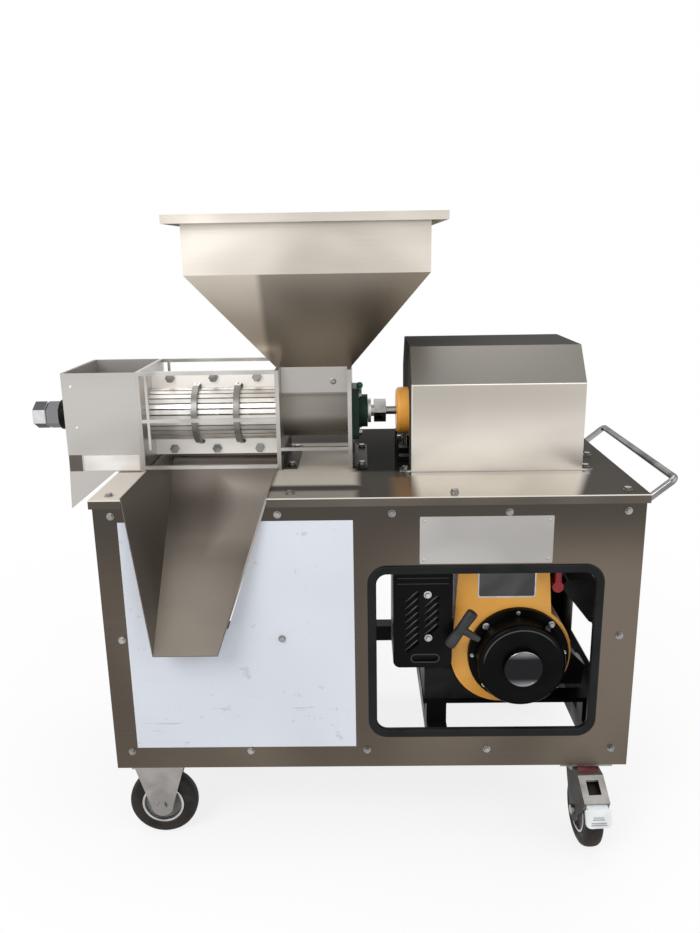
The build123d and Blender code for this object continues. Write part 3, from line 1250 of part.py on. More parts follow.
# Muffler: hollow box with an outlet and a pipe to the cylinder
MUFFLER_INSET = 10
MUFFLER_BACK = -70
MUFFLER_WALL = 3
PIPE_RADIUS = 13
PIPE_Y = -88
PIPE_Z = -215
PIPE_WALL = 2
OUTLET_X = 82
MUFFLER_LOW = (GUARD_LEFT + MUFFLER_INSET, GUARD_FRONT + MUFFLER_INSET, GUARD_BOTTOM + MUFFLER_INSET)
MUFFLER_HIGH = (GUARD_RIGHT - MUFFLER_INSET, MUFFLER_BACK, GUARD_TOP - MUFFLER_INSET)
with BuildPart(level(0)) as muffler:
    block(MUFFLER_LOW, MUFFLER_HIGH)
    fillet(muffler.edges().filter_by(Axis.Y), CASE_ROUND)
    rod_x(MUFFLER_HIGH[0], CRANK_X - CYLINDER_HALF, PIPE_RADIUS, PIPE_Y, PIPE_Z)
    block(
        [low + MUFFLER_WALL for low in MUFFLER_LOW],
        [high - MUFFLER_WALL for high in MUFFLER_HIGH],
        Mode.SUBTRACT,
    )
    rod_y(MUFFLER_BACK - MUFFLER_WALL, MUFFLER_BACK, PIPE_RADIUS, OUTLET_X, PIPE_Z, Mode.SUBTRACT)
    pipe_left = MUFFLER_HIGH[0] - MUFFLER_WALL
    rod_x(pipe_left, CRANK_X - CYLINDER_HALF, PIPE_RADIUS - PIPE_WALL, PIPE_Y, PIPE_Z, Mode.SUBTRACT)
save(muffler, "muffler")

# Muffler guard: a sheet cap over the muffler's front with two columns of slanting louvres
GUARD_SHEET = 2
LOUVRE_LONG = 32
LOUVRE_WIDE = 5.5
LOUVRE_TILT = 42
LOUVRE_STEP = 14.5
LONG_COLUMN = (84, -322, 8)
SHORT_COLUMN = (122, -288, 5)
OUTLET_SLOT = (52, 14)
OUTLET_SLOT_MIDDLE = (108, -346)
with BuildPart(level(0)) as muffler_guard:
    block((GUARD_LEFT, GUARD_FRONT, GUARD_BOTTOM), (GUARD_RIGHT, GUARD_BACK, GUARD_TOP))
    fillet(muffler_guard.edges().filter_by(Axis.Y), CASE_ROUND)
    block(
        (GUARD_LEFT + GUARD_SHEET, GUARD_FRONT + GUARD_SHEET, GUARD_BOTTOM + GUARD_SHEET),
        (GUARD_RIGHT - GUARD_SHEET, GUARD_BACK, GUARD_TOP - GUARD_SHEET),
        Mode.SUBTRACT,
    )
    with BuildSketch(facing_front(GUARD_FRONT + GUARD_SHEET)) as louvres:
        for x, lowest, count in (LONG_COLUMN, SHORT_COLUMN):
            for number in range(count):
                spot = (x, lowest + number * LOUVRE_STEP, 0)
                with Locations(Location(spot, (0, 0, LOUVRE_TILT))):
                    SlotOverall(LOUVRE_LONG, LOUVRE_WIDE)
        with Locations(OUTLET_SLOT_MIDDLE):
            SlotOverall(*OUTLET_SLOT)
    extrude(louvres.sketch, amount=GUARD_SHEET, mode=Mode.SUBTRACT)
save(muffler_guard, "muffler_guard")

# Air cleaner with a sloping underside, and the carburettor between it and the cylinder
CLEANER_FRONT = -195
CLEANER_BACK = -65
CLEANER_ROUND = 8
CLEANER_OUTLINE = ((384, -205), (384, -228), (448, -310), (448, -205))
NECK_MIDDLE = (410, -225)
CARB_LOW = (CRANK_X + CYLINDER_HALF, -60, -250)
CARB_HIGH = (420, -10, -200)
CLEANER_NECK = 18
with BuildPart(level(0)) as air_cleaner:
    plate(facing_front(CLEANER_BACK), CLEANER_OUTLINE, CLEANER_BACK - CLEANER_FRONT)
    fillet(air_cleaner.edges().filter_by(Axis.Y), CLEANER_ROUND)
    block(CARB_LOW, CARB_HIGH)
    rod_y(CLEANER_BACK, CARB_LOW[1], CLEANER_NECK / 2, *NECK_MIDDLE)
save(air_cleaner, "air_cleaner")

# Fuel tank with its filler neck and the valve body under it
TANK_FRONT = -109
TANK_REAR = 100
TANK_WALL = 2
TANK_ROUND = 22
NECK_X = 290
NECK_Y = -10
NECK_OUTER = 20
NECK_INNER = 17
NECK_TOP = -72
VALVE_HALF = 9
VALVE_FRONT = -150
VALVE_BACK = -100
with BuildPart(level(0)) as fuel_tank:
    block((TANK_LEFT, TANK_FRONT, TANK_BOTTOM), (TANK_RIGHT, TANK_REAR, TANK_TOP))
    fillet(fuel_tank.edges().filter_by(Axis.Z), TANK_ROUND)
    rod_z(TANK_TOP, NECK_TOP, NECK_OUTER, NECK_X, NECK_Y)
    block(
        (TANK_LEFT + TANK_WALL, TANK_FRONT + TANK_WALL, TANK_BOTTOM + TANK_WALL),
        (TANK_RIGHT - TANK_WALL, TANK_REAR - TANK_WALL, TANK_TOP - TANK_WALL),
        Mode.SUBTRACT,
    )
    rod_z(TANK_TOP - TANK_WALL, NECK_TOP, NECK_INNER, NECK_X, NECK_Y, Mode.SUBTRACT)
    block(
        (COCK_X - VALVE_HALF, VALVE_FRONT, COCK_Z - VALVE_HALF),
        (COCK_X + VALVE_HALF, VALVE_BACK, TANK_BOTTOM),
    )
save(fuel_tank, "fuel_tank")

# Fuel cap: a knurled cap over the neck
CAP_RADIUS = 27
CAP_TOP = -52
CAP_ROOF = 5
CAP_GRIPS = 12
CAP_GROOVE = 3
CAP_GAP = 0.5
with BuildPart(level(0)) as fuel_cap:
    rod_z(TANK_TOP + CAP_GAP, CAP_TOP, CAP_RADIUS, NECK_X, NECK_Y)
    rod_z(TANK_TOP + CAP_GAP, CAP_TOP - CAP_ROOF, NECK_OUTER + CAP_GAP, NECK_X, NECK_Y, Mode.SUBTRACT)
    for number in range(CAP_GRIPS):
        angle = 2 * math.pi * number / CAP_GRIPS
        grip_x = NECK_X + CAP_RADIUS * math.cos(angle)
        grip_y = NECK_Y + CAP_RADIUS * math.sin(angle)
        rod_z(TANK_TOP + CAP_GAP, CAP_TOP, CAP_GROOVE, grip_x, grip_y, Mode.SUBTRACT)
save(fuel_cap, "fuel_cap")

# Fuel cock: a red lever knob on a stem in the valve body
COCK_RADIUS = 11
COCK_LENGTH = 30
COCK_FRONT = -215
COCK_THICK = 14
COCK_STEM = 4
with BuildPart(level(0)) as fuel_cock:
    rod_y(COCK_FRONT, COCK_FRONT + COCK_THICK, COCK_RADIUS, COCK_X, COCK_Z)
    block(
        (COCK_X - COCK_RADIUS / 2, COCK_FRONT, COCK_Z),
        (COCK_X + COCK_RADIUS / 2, COCK_FRONT + COCK_THICK, COCK_Z + COCK_LENGTH),
    )
    rod_y(COCK_FRONT + COCK_THICK, VALVE_FRONT - CAP_GAP, COCK_STEM, COCK_X, COCK_Z)
save(fuel_cock, "fuel_cock")


def caster_plane(x, y, turn):
    """Upright plane through a caster; its axes run the way the fork trails, and up."""
    angle = math.radians(turn)
    return Plane(
        origin=(TABLE_X + x, SHAFT_Y + y, TABLE_HEIGHT),
        x_dir=(math.sin(angle), -math.cos(angle), 0),
        z_dir=(-math.cos(angle), -math.sin(angle), 0),
    )


def caster_wheel(plane, trail):
    """Rubber-tyred wheel with a dished rim, turning on its axle."""
    with BuildPart(plane) as wheel:
        with Locations((trail, AXLE_Z, 0)):
            Cylinder(WHEEL_RADIUS, WHEEL_WIDTH)
        fillet(wheel.edges().filter_by(GeomType.CIRCLE), TREAD_ROUND)
        with Locations((trail, AXLE_Z, WHEEL_WIDTH / 2), (trail, AXLE_Z, -WHEEL_WIDTH / 2)):
            Cylinder(RIM_RADIUS, 2 * RIM_DISH, mode=Mode.SUBTRACT)
        with Locations((trail, AXLE_Z, 0)):
            Cylinder(HUB_RADIUS, HUB_WIDTH)
            Cylinder(AXLE_RADIUS + RUNNING_GAP, HUB_WIDTH, mode=Mode.SUBTRACT)
    return wheel


def fork_legs(plane, outline, trail):
    """Two fork legs, rounded round the axle, and the axle bolt with its heads."""
    for inside in (FORK_INSIDE, -FORK_INSIDE - FORK_THICK):
        with BuildSketch(plane.offset(inside)) as leg:
            with Locations((trail, AXLE_Z)):
                Circle(FORK_END)
            Polygon(*outline, align=None)
        extrude(leg.sketch, amount=FORK_THICK)
    disc(plane.offset(-FORK_INSIDE), (trail, AXLE_Z), AXLE_RADIUS, 2 * FORK_INSIDE)
    for outside in (FORK_INSIDE + FORK_THICK, -FORK_INSIDE - FORK_THICK - BOLT_HEAD):
        hexagon(plane.offset(outside), (trail, AXLE_Z), CAGE_BOLT_ACROSS, BOLT_HEAD)


# Fixed casters at the left, rolling along the machine
PLATE_BOTTOM = CASTER_PLATE_Z - PLATE_THICK
FIXED_OUTLINE = (
    (-PLATE_LONG / 2, PLATE_BOTTOM),
    (-FORK_END, AXLE_Z),
    (FORK_END, AXLE_Z),
    (PLATE_LONG / 2, PLATE_BOTTOM),
)
FIXED_TURN = 90
with BuildPart(level(0)) as fixed_forks:
    for y in (CASTER_FRONT, CASTER_BACK):
        block(
            (-CASTER_X - PLATE_LONG / 2, y - PLATE_DEEP / 2, PLATE_BOTTOM),
            (-CASTER_X + PLATE_LONG / 2, y + PLATE_DEEP / 2, CASTER_PLATE_Z),
        )
        fork_legs(caster_plane(-CASTER_X, y, FIXED_TURN), FIXED_OUTLINE, 0)
save(fixed_forks, "fixed_forks")
fixed_wheel_front = caster_wheel(caster_plane(-CASTER_X, CASTER_FRONT, FIXED_TURN), 0)
save(fixed_wheel_front, "fixed_wheel_front")
fixed_wheel_back = caster_wheel(caster_plane(-CASTER_X, CASTER_BACK, FIXED_TURN), 0)
save(fixed_wheel_back, "fixed_wheel_back")

# Swivel plates at the right, each with its race and king pin
RACE_BOTTOM = PLATE_BOTTOM - RACE_DROP
CROWN_TOP = RACE_BOTTOM - RACE_GAP
CROWN_BOTTOM = CROWN_TOP - CROWN_DEEP
with BuildPart(level(0)) as swivel_plates:
    for y in (CASTER_FRONT, CASTER_BACK):
        block(
            (CASTER_X - PLATE_LONG / 2, y - PLATE_DEEP / 2, PLATE_BOTTOM),
            (CASTER_X + PLATE_LONG / 2, y + PLATE_DEEP / 2, CASTER_PLATE_Z),
        )
        rod_z(RACE_BOTTOM, PLATE_BOTTOM, RACE_RADIUS, CASTER_X, y)
        rod_z(CROWN_BOTTOM, RACE_BOTTOM, AXLE_RADIUS, CASTER_X, y)
save(swivel_plates, "swivel_plates")

# Swivel forks, with a sloping cover plate and the pin that the brake pedal turns on
SWIVEL_OUTLINE = (
    (-FORK_HEEL, CROWN_TOP),
    (-FORK_HEEL, CROWN_BOTTOM),
    (TRAIL - FORK_END, AXLE_Z),
    (TRAIL + FORK_END, AXLE_Z),
    (PEDAL_T + 2, PEDAL_Z - 8),
    (PEDAL_T + 5, PEDAL_Z + 2),
    (COVER_FRONT, COVER_FRONT_Z),
    (COVER_BACK, CROWN_TOP),
)
COVER_DROP = COVER_THICK / math.hypot(COVER_FRONT - COVER_BACK, CROWN_TOP - COVER_FRONT_Z)
COVER_DROP_T = COVER_DROP * (CROWN_TOP - COVER_FRONT_Z)
COVER_DROP_Z = COVER_DROP * (COVER_FRONT - COVER_BACK)
COVER_OUTLINE = (
    (COVER_BACK, CROWN_TOP),
    (COVER_BACK - COVER_DROP_T, CROWN_TOP - COVER_DROP_Z),
    (COVER_FRONT - COVER_DROP_T, COVER_FRONT_Z - COVER_DROP_Z),
    (COVER_FRONT, COVER_FRONT_Z),
)
YOKE_OUTLINE = (
    (0, CROWN_TOP),
    (0, CROWN_TOP - COVER_THICK),
    (COVER_BACK, CROWN_TOP - COVER_THICK),
    (COVER_BACK, CROWN_TOP),
)
HOLE_OUTLINE = (
    (COVER_HOLE[0], CROWN_TOP),
    (COVER_HOLE[1], CROWN_TOP),
    (COVER_HOLE[1], PEDAL_Z),
    (COVER_HOLE[0], PEDAL_Z),
)


def swivel_fork(y, turn):
    """Fork that turns under its plate and trails behind its pin."""
    plane = caster_plane(CASTER_X, y, turn)
    with BuildPart(level(0)) as fork:
        rod_z(CROWN_BOTTOM, CROWN_TOP, CROWN_RADIUS, CASTER_X, y)
        fork_legs(plane, SWIVEL_OUTLINE, TRAIL)
        plate(plane.offset(-FORK_INSIDE - FORK_THICK), COVER_OUTLINE, 2 * (FORK_INSIDE + FORK_THICK))
        plate(plane.offset(-FORK_INSIDE - FORK_THICK), YOKE_OUTLINE, 2 * (FORK_INSIDE + FORK_THICK))
        plate(plane.offset(-COVER_HOLE_HALF), HOLE_OUTLINE, 2 * COVER_HOLE_HALF, Mode.SUBTRACT)
        disc(plane.offset(-FORK_INSIDE), (PEDAL_T, PEDAL_Z), PEDAL_PIN, 2 * FORK_INSIDE)
        rod_z(CROWN_BOTTOM, CROWN_TOP, AXLE_RADIUS + RUNNING_GAP, CASTER_X, y, Mode.SUBTRACT)
    return fork


def brake_pedal(y, turn):
    """Pedal on the fork's pin: a narrow arm between the legs and a broad tread in front."""
    plane = caster_plane(CASTER_X, y, turn)
    arm_half = FORK_INSIDE - 2
    arm = (
        (PEDAL_T, PEDAL_Z + PEDAL_BARREL),
        (PEDAL_T, PEDAL_Z - PEDAL_BARREL),
        (PEDAL_T + TREAD_START + TREAD_EDGE, PEDAL_Z - 2 * PEDAL_BARREL),
        (PEDAL_T + TREAD_START + TREAD_EDGE, PEDAL_Z),
    )
    tread = (
        (PEDAL_T + TREAD_START, PEDAL_Z - PEDAL_BARREL),
        (PEDAL_T + PEDAL_REACH - TREAD_EDGE, PEDAL_Z - PEDAL_FALL),
        (PEDAL_T + PEDAL_REACH, PEDAL_Z - PEDAL_FALL + TREAD_EDGE / 2),
        (PEDAL_T + TREAD_START + TREAD_EDGE, PEDAL_Z),
    )
    with BuildPart() as pedal:
        plate(plane.offset(-PEDAL_HALF), tread, 2 * PEDAL_HALF)
        toe_height = TABLE_HEIGHT + PEDAL_Z - PEDAL_FALL + TREAD_EDGE
        toe_edges = [edge for edge in pedal.edges() if edge.center().Z < toe_height]
        corners = [edge for edge in toe_edges if edge.length < 2 * TREAD_EDGE]
        fillet(corners, PEDAL_ROUND)
        disc(plane.offset(-arm_half), (PEDAL_T, PEDAL_Z), PEDAL_BARREL, 2 * arm_half)
        plate(plane.offset(-arm_half), arm, 2 * arm_half)
        bore = PEDAL_PIN + RUNNING_GAP
        disc(plane.offset(-arm_half), (PEDAL_T, PEDAL_Z), bore, 2 * arm_half, Mode.SUBTRACT)
    return pedal


for end, y, turn in (("front", CASTER_FRONT, FRONT_TURN), ("back", CASTER_BACK, BACK_TURN)):
    save(swivel_fork(y, turn), f"swivel_fork_{end}")
    save(caster_wheel(caster_plane(CASTER_X, y, turn), TRAIL), f"swivel_wheel_{end}")
    save(brake_pedal(y, turn), f"brake_pedal_{end}")
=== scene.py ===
# %% [markdown]
# This lesson dresses a finished CAD model of a coconut milk extractor: a screw press on a stainless
# cabinet, with a small engine behind a window. The solids already have their size and place. They could be
# rebuilt in Blender, but a fixed frame leaves only what solids can't show.

# %% Load the frame
import json
import math

import bmesh
import bpy
from mathutils import Matrix, Vector


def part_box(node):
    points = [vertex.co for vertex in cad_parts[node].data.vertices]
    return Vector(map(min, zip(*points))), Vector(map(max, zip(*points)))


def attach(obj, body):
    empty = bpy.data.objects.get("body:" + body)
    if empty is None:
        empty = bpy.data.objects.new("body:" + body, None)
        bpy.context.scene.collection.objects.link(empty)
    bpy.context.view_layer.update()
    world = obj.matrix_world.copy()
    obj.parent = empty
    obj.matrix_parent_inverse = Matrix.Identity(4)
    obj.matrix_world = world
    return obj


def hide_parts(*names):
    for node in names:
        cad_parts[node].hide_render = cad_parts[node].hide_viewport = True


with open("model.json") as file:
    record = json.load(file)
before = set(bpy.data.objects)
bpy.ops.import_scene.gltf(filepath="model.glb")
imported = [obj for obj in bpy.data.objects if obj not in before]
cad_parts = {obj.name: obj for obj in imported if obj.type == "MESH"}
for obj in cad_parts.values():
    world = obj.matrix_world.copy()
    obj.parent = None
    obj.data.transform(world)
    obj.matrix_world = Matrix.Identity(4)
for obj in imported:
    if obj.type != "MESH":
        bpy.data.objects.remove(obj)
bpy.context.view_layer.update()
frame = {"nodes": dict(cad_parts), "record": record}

nodes = frame["nodes"]

# %% [markdown]
# A machine is easiest to dress in its own terms: millimetres to the right of the table's middle, behind the
# press shaft and above the table top. The zero point could be typed in, but it is read from the CAD boxes.

# %% Machine coordinates
MM = 0.001
table_low, table_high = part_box("table_top")
plates_low, plates_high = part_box("press_plates")
ZERO = Vector(((table_low[0] + table_high[0]) / 2, (plates_low[1] + plates_high[1]) / 2, table_high[2]))


def at(x, y, z):
    """A point given in machine millimetres, in the frame's metres."""
    return ZERO + Vector((x, y, z)) * MM


print("zero point", [round(v, 4) for v in ZERO])

# %% [markdown]
# The camera stands where the photograph was taken, a little above the hopper and looking down at the front.
# It could be placed by eye, but a fit of the table, hood and box corners gave its place, angles and focal
# length, which go straight into its matrix.

# %% Camera
PHOTO_HEIGHT = 933
FOCAL_PIXELS = 812.45
SENSOR = 36.0
FARTHEST = 50
CAMERA_SPOT = (-11.7, -1677.2, 420.6)
CAMERA_ANGLES = (-0.82, 14.76, -0.91)
yaw, pitch, roll = (math.radians(angle) for angle in CAMERA_ANGLES)
ahead = Vector((math.sin(yaw) * math.cos(pitch), math.cos(yaw) * math.cos(pitch), -math.sin(pitch)))
level_right = Vector((math.cos(yaw), -math.sin(yaw), 0))
level_up = level_right.cross(ahead)
right = level_right * math.cos(roll) + level_up * math.sin(roll)
up = level_up * math.cos(roll) - level_right * math.sin(roll)

lens = bpy.data.cameras.new("photo_camera")
lens.sensor_width = SENSOR
lens.lens = FOCAL_PIXELS / PHOTO_HEIGHT * SENSOR
lens.clip_end = FARTHEST
camera = bpy.data.objects.new("photo_camera", lens)
bpy.context.collection.objects.link(camera)
turn = Matrix((right, up, -ahead)).transposed().to_4x4()
camera.matrix_world = Matrix.Translation(at(*CAMERA_SPOT)) @ turn
bpy.context.scene.camera = camera
print("lens", round(lens.lens, 2), "camera at", [round(v, 3) for v in camera.location])

# %% [markdown]
# Materials are trees of nodes. Each node could be made, set and linked line by line, but most differ only
# in a few inputs, so one helper adds a node and fills its inputs. Smaller ones do one sum, stretch one
# range, start a material or make an object.

# %% Helpers for nodes and meshes


def add_node(tree, kind, inputs=None, **settings):
    """A shader node with its settings, and each input linked to a socket or set to a value."""
    node = tree.nodes.new("ShaderNode" + kind)
    for name, value in settings.items():
        setattr(node, name, value)
    for key, value in (inputs or {}).items():
        if isinstance(value, bpy.types.NodeSocket):
            tree.links.new(value, node.inputs[key])
        else:
            node.inputs[key].default_value = value
    return node


def combine(tree, operation, first, second):
    """One maths node on two sockets or numbers."""
    return add_node(tree, "Math", {0: first, 1: second}, operation=operation).outputs[0]


def spread(tree, value, low, high, to_low=0, to_high=1, curve="LINEAR"):
    """A value taken from one range to another, and held at both ends."""
    ends = {"From Min": low, "From Max": high, "To Min": to_low, "To Max": to_high}
    return add_node(tree, "MapRange", {"Value": value, **ends}, interpolation_type=curve).outputs["Result"]


def new_material(name):
    """An empty node material with its Principled shader joined to its output."""
    material = bpy.data.materials.new(name)
    material.use_nodes = True
    tree = material.node_tree
    tree.nodes.clear()
    shader = add_node(tree, "BsdfPrincipled")
    add_node(tree, "OutputMaterial", {"Surface": shader.outputs["BSDF"]})
    return material, tree, shader


def piece_from(name, builder, smooth=None):
    """A new object from a mesh builder, in the frame's metres, smooth up to an angle in degrees."""
    mesh = bpy.data.meshes.new(name)
    bmesh.ops.recalc_face_normals(builder, faces=builder.faces)
    builder.to_mesh(mesh)
    builder.free()
    if smooth:
        mesh.shade_smooth()
        mesh.set_sharp_from_angle(angle=math.radians(smooth))
    made = bpy.data.objects.new(name, mesh)
    bpy.context.collection.objects.link(made)
    return made


print("helpers", add_node.__name__, combine.__name__, spread.__name__)

# %% [markdown]
# The machine stands on a pale floor that fades into a white background. Lamps that make a floor white would
# wash out the machine, so the floor glows instead, only for rays that the camera sees. Near the wheels the
# glow is weaker, which keeps the shadow.

# %% Floor
WHITE = (1, 1, 1, 1)
FLOOR_HALF = 12
FLOOR_DROP = 0.0005
FLOOR_GREYS = (0.88, 0.92)
SHADOW_NEAR, SHADOW_FAR, SHADOW_SHARE = 0.55, 2.2, 0.8


def seen_rays(tree):
    """1 for what the camera sees, straight or through gloss and glass."""
    path = add_node(tree, "LightPath").outputs
    glossy = combine(tree, "MAXIMUM", path["Is Camera Ray"], path["Is Glossy Ray"])
    return combine(tree, "MAXIMUM", glossy, path["Is Transmission Ray"])


builder = bmesh.new()
corners = [(x * FLOOR_HALF, y * FLOOR_HALF, -FLOOR_DROP) for x, y in ((-1, -1), (1, -1), (1, 1), (-1, 1))]
builder.faces.new([builder.verts.new(corner) for corner in corners])
floor = piece_from("studio_floor", builder)
floor_material, tree, shader = new_material("studio_floor")
floor.data.materials.append(floor_material)
ramp = add_node(tree, "ValToRGB", {"Fac": add_node(tree, "TexNoise", {"Scale": 3}).outputs["Fac"]})
for stop, grey in zip(ramp.color_ramp.elements, FLOOR_GREYS):
    stop.color = (grey, grey, grey, 1)
tree.links.new(ramp.outputs["Color"], shader.inputs["Base Color"])
shader.inputs["Roughness"].default_value = 0.9
shader.inputs["Specular IOR Level"].default_value = 0.1
surface = shader.outputs["BSDF"].links[0].to_socket
reach = add_node(tree, "VectorMath", {0: add_node(tree, "TexCoord").outputs["Object"]}, operation="LENGTH")
fade = spread(tree, reach.outputs["Value"], SHADOW_NEAR, SHADOW_FAR, SHADOW_SHARE, 1, "SMOOTHSTEP")
glow = add_node(tree, "Emission", {"Color": WHITE}).outputs[0]
share = combine(tree, "MULTIPLY", seen_rays(tree), fade)
mix = add_node(tree, "MixShader", {"Fac": share, 1: shader.outputs["BSDF"], 2: glow})
tree.links.new(mix.outputs[0], surface)
print("floor", 2 * FLOOR_HALF, "metres wide")

# %% [markdown]
# The studio has a white world and three large soft lamps. Polished steel shows what stands around it, so
# small lamps would leave hard dots on every sheet. Colours are shown with the plain Standard transform, so
# a colour comes out about as it is written.

# %% World and lamps
WORLD_LIGHT = 0.62
LAMP_AIM = Vector((0, 0, 0.6))
scene = bpy.context.scene
scene.view_settings.view_transform = "Standard"
scene.world = bpy.data.worlds.new("studio_world")
scene.world.use_nodes = True
sky = scene.world.node_tree
sky.nodes.clear()
shown, lit = (add_node(sky, "Background", {"Color": WHITE, "Strength": power}) for power in (1, WORLD_LIGHT))
mix = add_node(sky, "MixShader", {"Fac": seen_rays(sky), 1: lit.outputs[0], 2: shown.outputs[0]})
add_node(sky, "OutputWorld", {"Surface": mix.outputs[0]})


def soft_lamp(name, place, size, watts):
    """A square lamp panel that looks at the middle of the machine."""
    panel = bpy.data.lights.new(name, "AREA")
    panel.shape = "SQUARE"
    panel.size = size
    panel.energy = watts
    lamp = bpy.data.objects.new(name, panel)
    bpy.context.collection.objects.link(lamp)
    lamp.location = place
    lamp.rotation_euler = (LAMP_AIM - Vector(place)).to_track_quat("-Z", "Y").to_euler()


soft_lamp("key_lamp", (-1.6, -2.6, 2.8), 1.8, 62)
soft_lamp("fill_lamp", (2.4, -1.8, 1.8), 3.4, 32)
soft_lamp("top_lamp", (0.2, 0.6, 3.2), 2.4, 34)

# %% [markdown]
# Many finishes share a few effects, such as fine lines from brushing or moulding and broad marks from hands
# and polishing. Each could be drawn again in every material, but node groups are built once and placed with
# their own values. These two are noise, stretched along the grain.

# %% Node groups for lines and marks


def start_group(name, inputs, outputs):
    """A shader node group with named sockets, and the sockets of its two ends."""
    group = bpy.data.node_groups.new(name, "ShaderNodeTree")
    for socket, value in inputs.items():
        kind = "NodeSocketVector" if isinstance(value, tuple) else "NodeSocketFloat"
        group.interface.new_socket(socket, in_out="INPUT", socket_type=kind).default_value = value
    for socket in outputs:
        group.interface.new_socket(socket, in_out="OUTPUT", socket_type="NodeSocketFloat")
    return group, group.nodes.new("NodeGroupInput").outputs, group.nodes.new("NodeGroupOutput").inputs


def changed_place(group, operation, vector):
    """The part's own coordinates, multiplied by a vector or with it taken away."""
    place = add_node(group, "TexCoord").outputs["Object"]
    return add_node(group, "VectorMath", {0: place, 1: vector}, operation=operation).outputs[0]


lines_group, given, result = start_group("fine_lines", {"Stretch": (8, 700, 700)}, ["Lines"])
grain = changed_place(lines_group, "MULTIPLY", given["Stretch"])
noise = add_node(lines_group, "TexNoise", {"Vector": grain, "Scale": 1, "Detail": 3, "Roughness": 0.65})
lines_group.links.new(spread(lines_group, noise.outputs["Fac"], 0.3, 0.7), result["Lines"])

marks_group, given, result = start_group("broad_marks", {"Stretch": (5, 5, 9)}, ["Marks"])
grain = changed_place(marks_group, "MULTIPLY", given["Stretch"])
noise = add_node(marks_group, "TexNoise", {"Vector": grain, "Scale": 1, "Detail": 1.5, "Distortion": 0.6})
soft = spread(marks_group, noise.outputs["Fac"], 0.32, 0.68, curve="SMOOTHSTEP")
marks_group.links.new(soft, result["Marks"])
print("groups", lines_group.name, marks_group.name)

# %% [markdown]
# Three more groups ask where a surface faces and how high it lies. A leaning sheet mirrors the floor or the
# ceiling, and an upright side the room beside it. Such images change with the room, so the groups only give
# masks, and each finish paints the tone of that reflection or shade there: painted reflection and painted
# shade by lean, by side and by height.

# %% Node groups for leaning, height and sides
LEAN_START, LEAN_END = 0.2, 0.75
DUST_START = 0.4
SIDE_START = 0.8


def facing_parts(group):
    """The X, Y and Z parts of the way a surface faces."""
    return add_node(group, "SeparateXYZ", {0: add_node(group, "NewGeometry").outputs["Normal"]}).outputs


lean_group, given, result = start_group("leaning_sheet", {}, ["Lean", "Up"])
upward = facing_parts(lean_group)["Z"]
tilt = combine(lean_group, "ABSOLUTE", upward, 0)
lean_group.links.new(spread(lean_group, tilt, LEAN_START, LEAN_END), result["Lean"])
lean_group.links.new(spread(lean_group, upward, DUST_START, 1), result["Up"])

fade_group, given, result = start_group("height_fade", {"Low": 0.0, "High": 1.0}, ["Fade"])
place = add_node(fade_group, "TexCoord").outputs["Object"]
height = add_node(fade_group, "SeparateXYZ", {0: place}).outputs["Z"]
soft = spread(fade_group, height, given["Low"], given["High"], curve="SMOOTHSTEP")
fade_group.links.new(soft, result["Fade"])

sides_group, given, result = start_group("sheet_sides", {}, ["Top", "Left", "Right"])
facing = facing_parts(sides_group)
for side, axis, sign in (("Top", "Z", 1), ("Left", "X", -1), ("Right", "X", 1)):
    toward = combine(sides_group, "MULTIPLY", facing[axis], sign)
    sides_group.links.new(spread(sides_group, toward, SIDE_START, 1), result[side])
print("groups", lean_group.name, fade_group.name, sides_group.name)

# %% [markdown]
# The last two groups pick out one region of a part: a box with soft, perhaps slanting sides, and the space
# outside a cylinder about a shaft. A part could be cut in two for a second tone, but a mask leaves its mesh
# alone and moves with it.

# %% Node groups for a patch and a shaft
patch_group, given, result = start_group(
    "soft_patch", {"Middle": (0, 0, 0), "Half": (1, 1, 1), "Edge": 0.01, "Slant": 0.0}, ["Patch"])
away = changed_place(patch_group, "SUBTRACT", given["Middle"])
parts = add_node(patch_group, "SeparateXYZ", {0: away}).outputs
slide = combine(patch_group, "MULTIPLY", parts["Y"], given["Slant"])
straight = {"X": combine(patch_group, "SUBTRACT", parts["X"], slide), "Y": parts["Y"], "Z": parts["Z"]}
joined = add_node(patch_group, "CombineXYZ", straight).outputs[0]
distance = add_node(patch_group, "VectorMath", {0: joined}, operation="ABSOLUTE").outputs[0]
past = add_node(patch_group, "VectorMath", {0: distance, 1: given["Half"]}, operation="SUBTRACT").outputs[0]
parts = add_node(patch_group, "SeparateXYZ", {0: past}).outputs
farther = combine(patch_group, "MAXIMUM", parts["X"], parts["Y"])
farthest = combine(patch_group, "MAXIMUM", farther, parts["Z"])
patch_group.links.new(spread(patch_group, farthest, 0, given["Edge"], 1, 0, "SMOOTHSTEP"), result["Patch"])

shaft_group, given, result = start_group(
    "shaft_distance", {"Middle": (0, 0, 0), "Axis": (1, 0, 0), "Near": 0.05, "Far": 0.06}, ["Outside"])
away = changed_place(shaft_group, "SUBTRACT", given["Middle"])
across = add_node(shaft_group, "VectorMath", {0: away, 1: given["Axis"]}, operation="CROSS_PRODUCT")
reach = add_node(shaft_group, "VectorMath", {0: across.outputs[0]}, operation="LENGTH").outputs["Value"]
shaft_group.links.new(spread(shaft_group, reach, given["Near"], given["Far"]), result["Outside"])
print("groups in all", len(bpy.data.node_groups))

# %% [markdown]
# A finish blends a dark and a light tone by marks and lines, with a roughness from the marks and a small
# bump from the lines. It could be written out for each metal and paint, but one function holds the recipe,
# so they differ in their numbers and not in copied code. Each finish names the CAD nodes that wear it.

# %% Finish recipe
bare = set(nodes)


def place_group(tree, group, **values):
    """The outputs of one use of a node group, with its values set."""
    return add_node(tree, "Group", values, node_tree=group).outputs


def blend(tree, factor, first, second):
    """Two colours, or a socket and a colour, blended by a factor."""
    first, second = ((*tone, 1) if isinstance(tone, tuple) else tone for tone in (first, second))
    return add_node(tree, "Mix", {"Factor": factor, 6: first, 7: second}, data_type="RGBA").outputs[2]


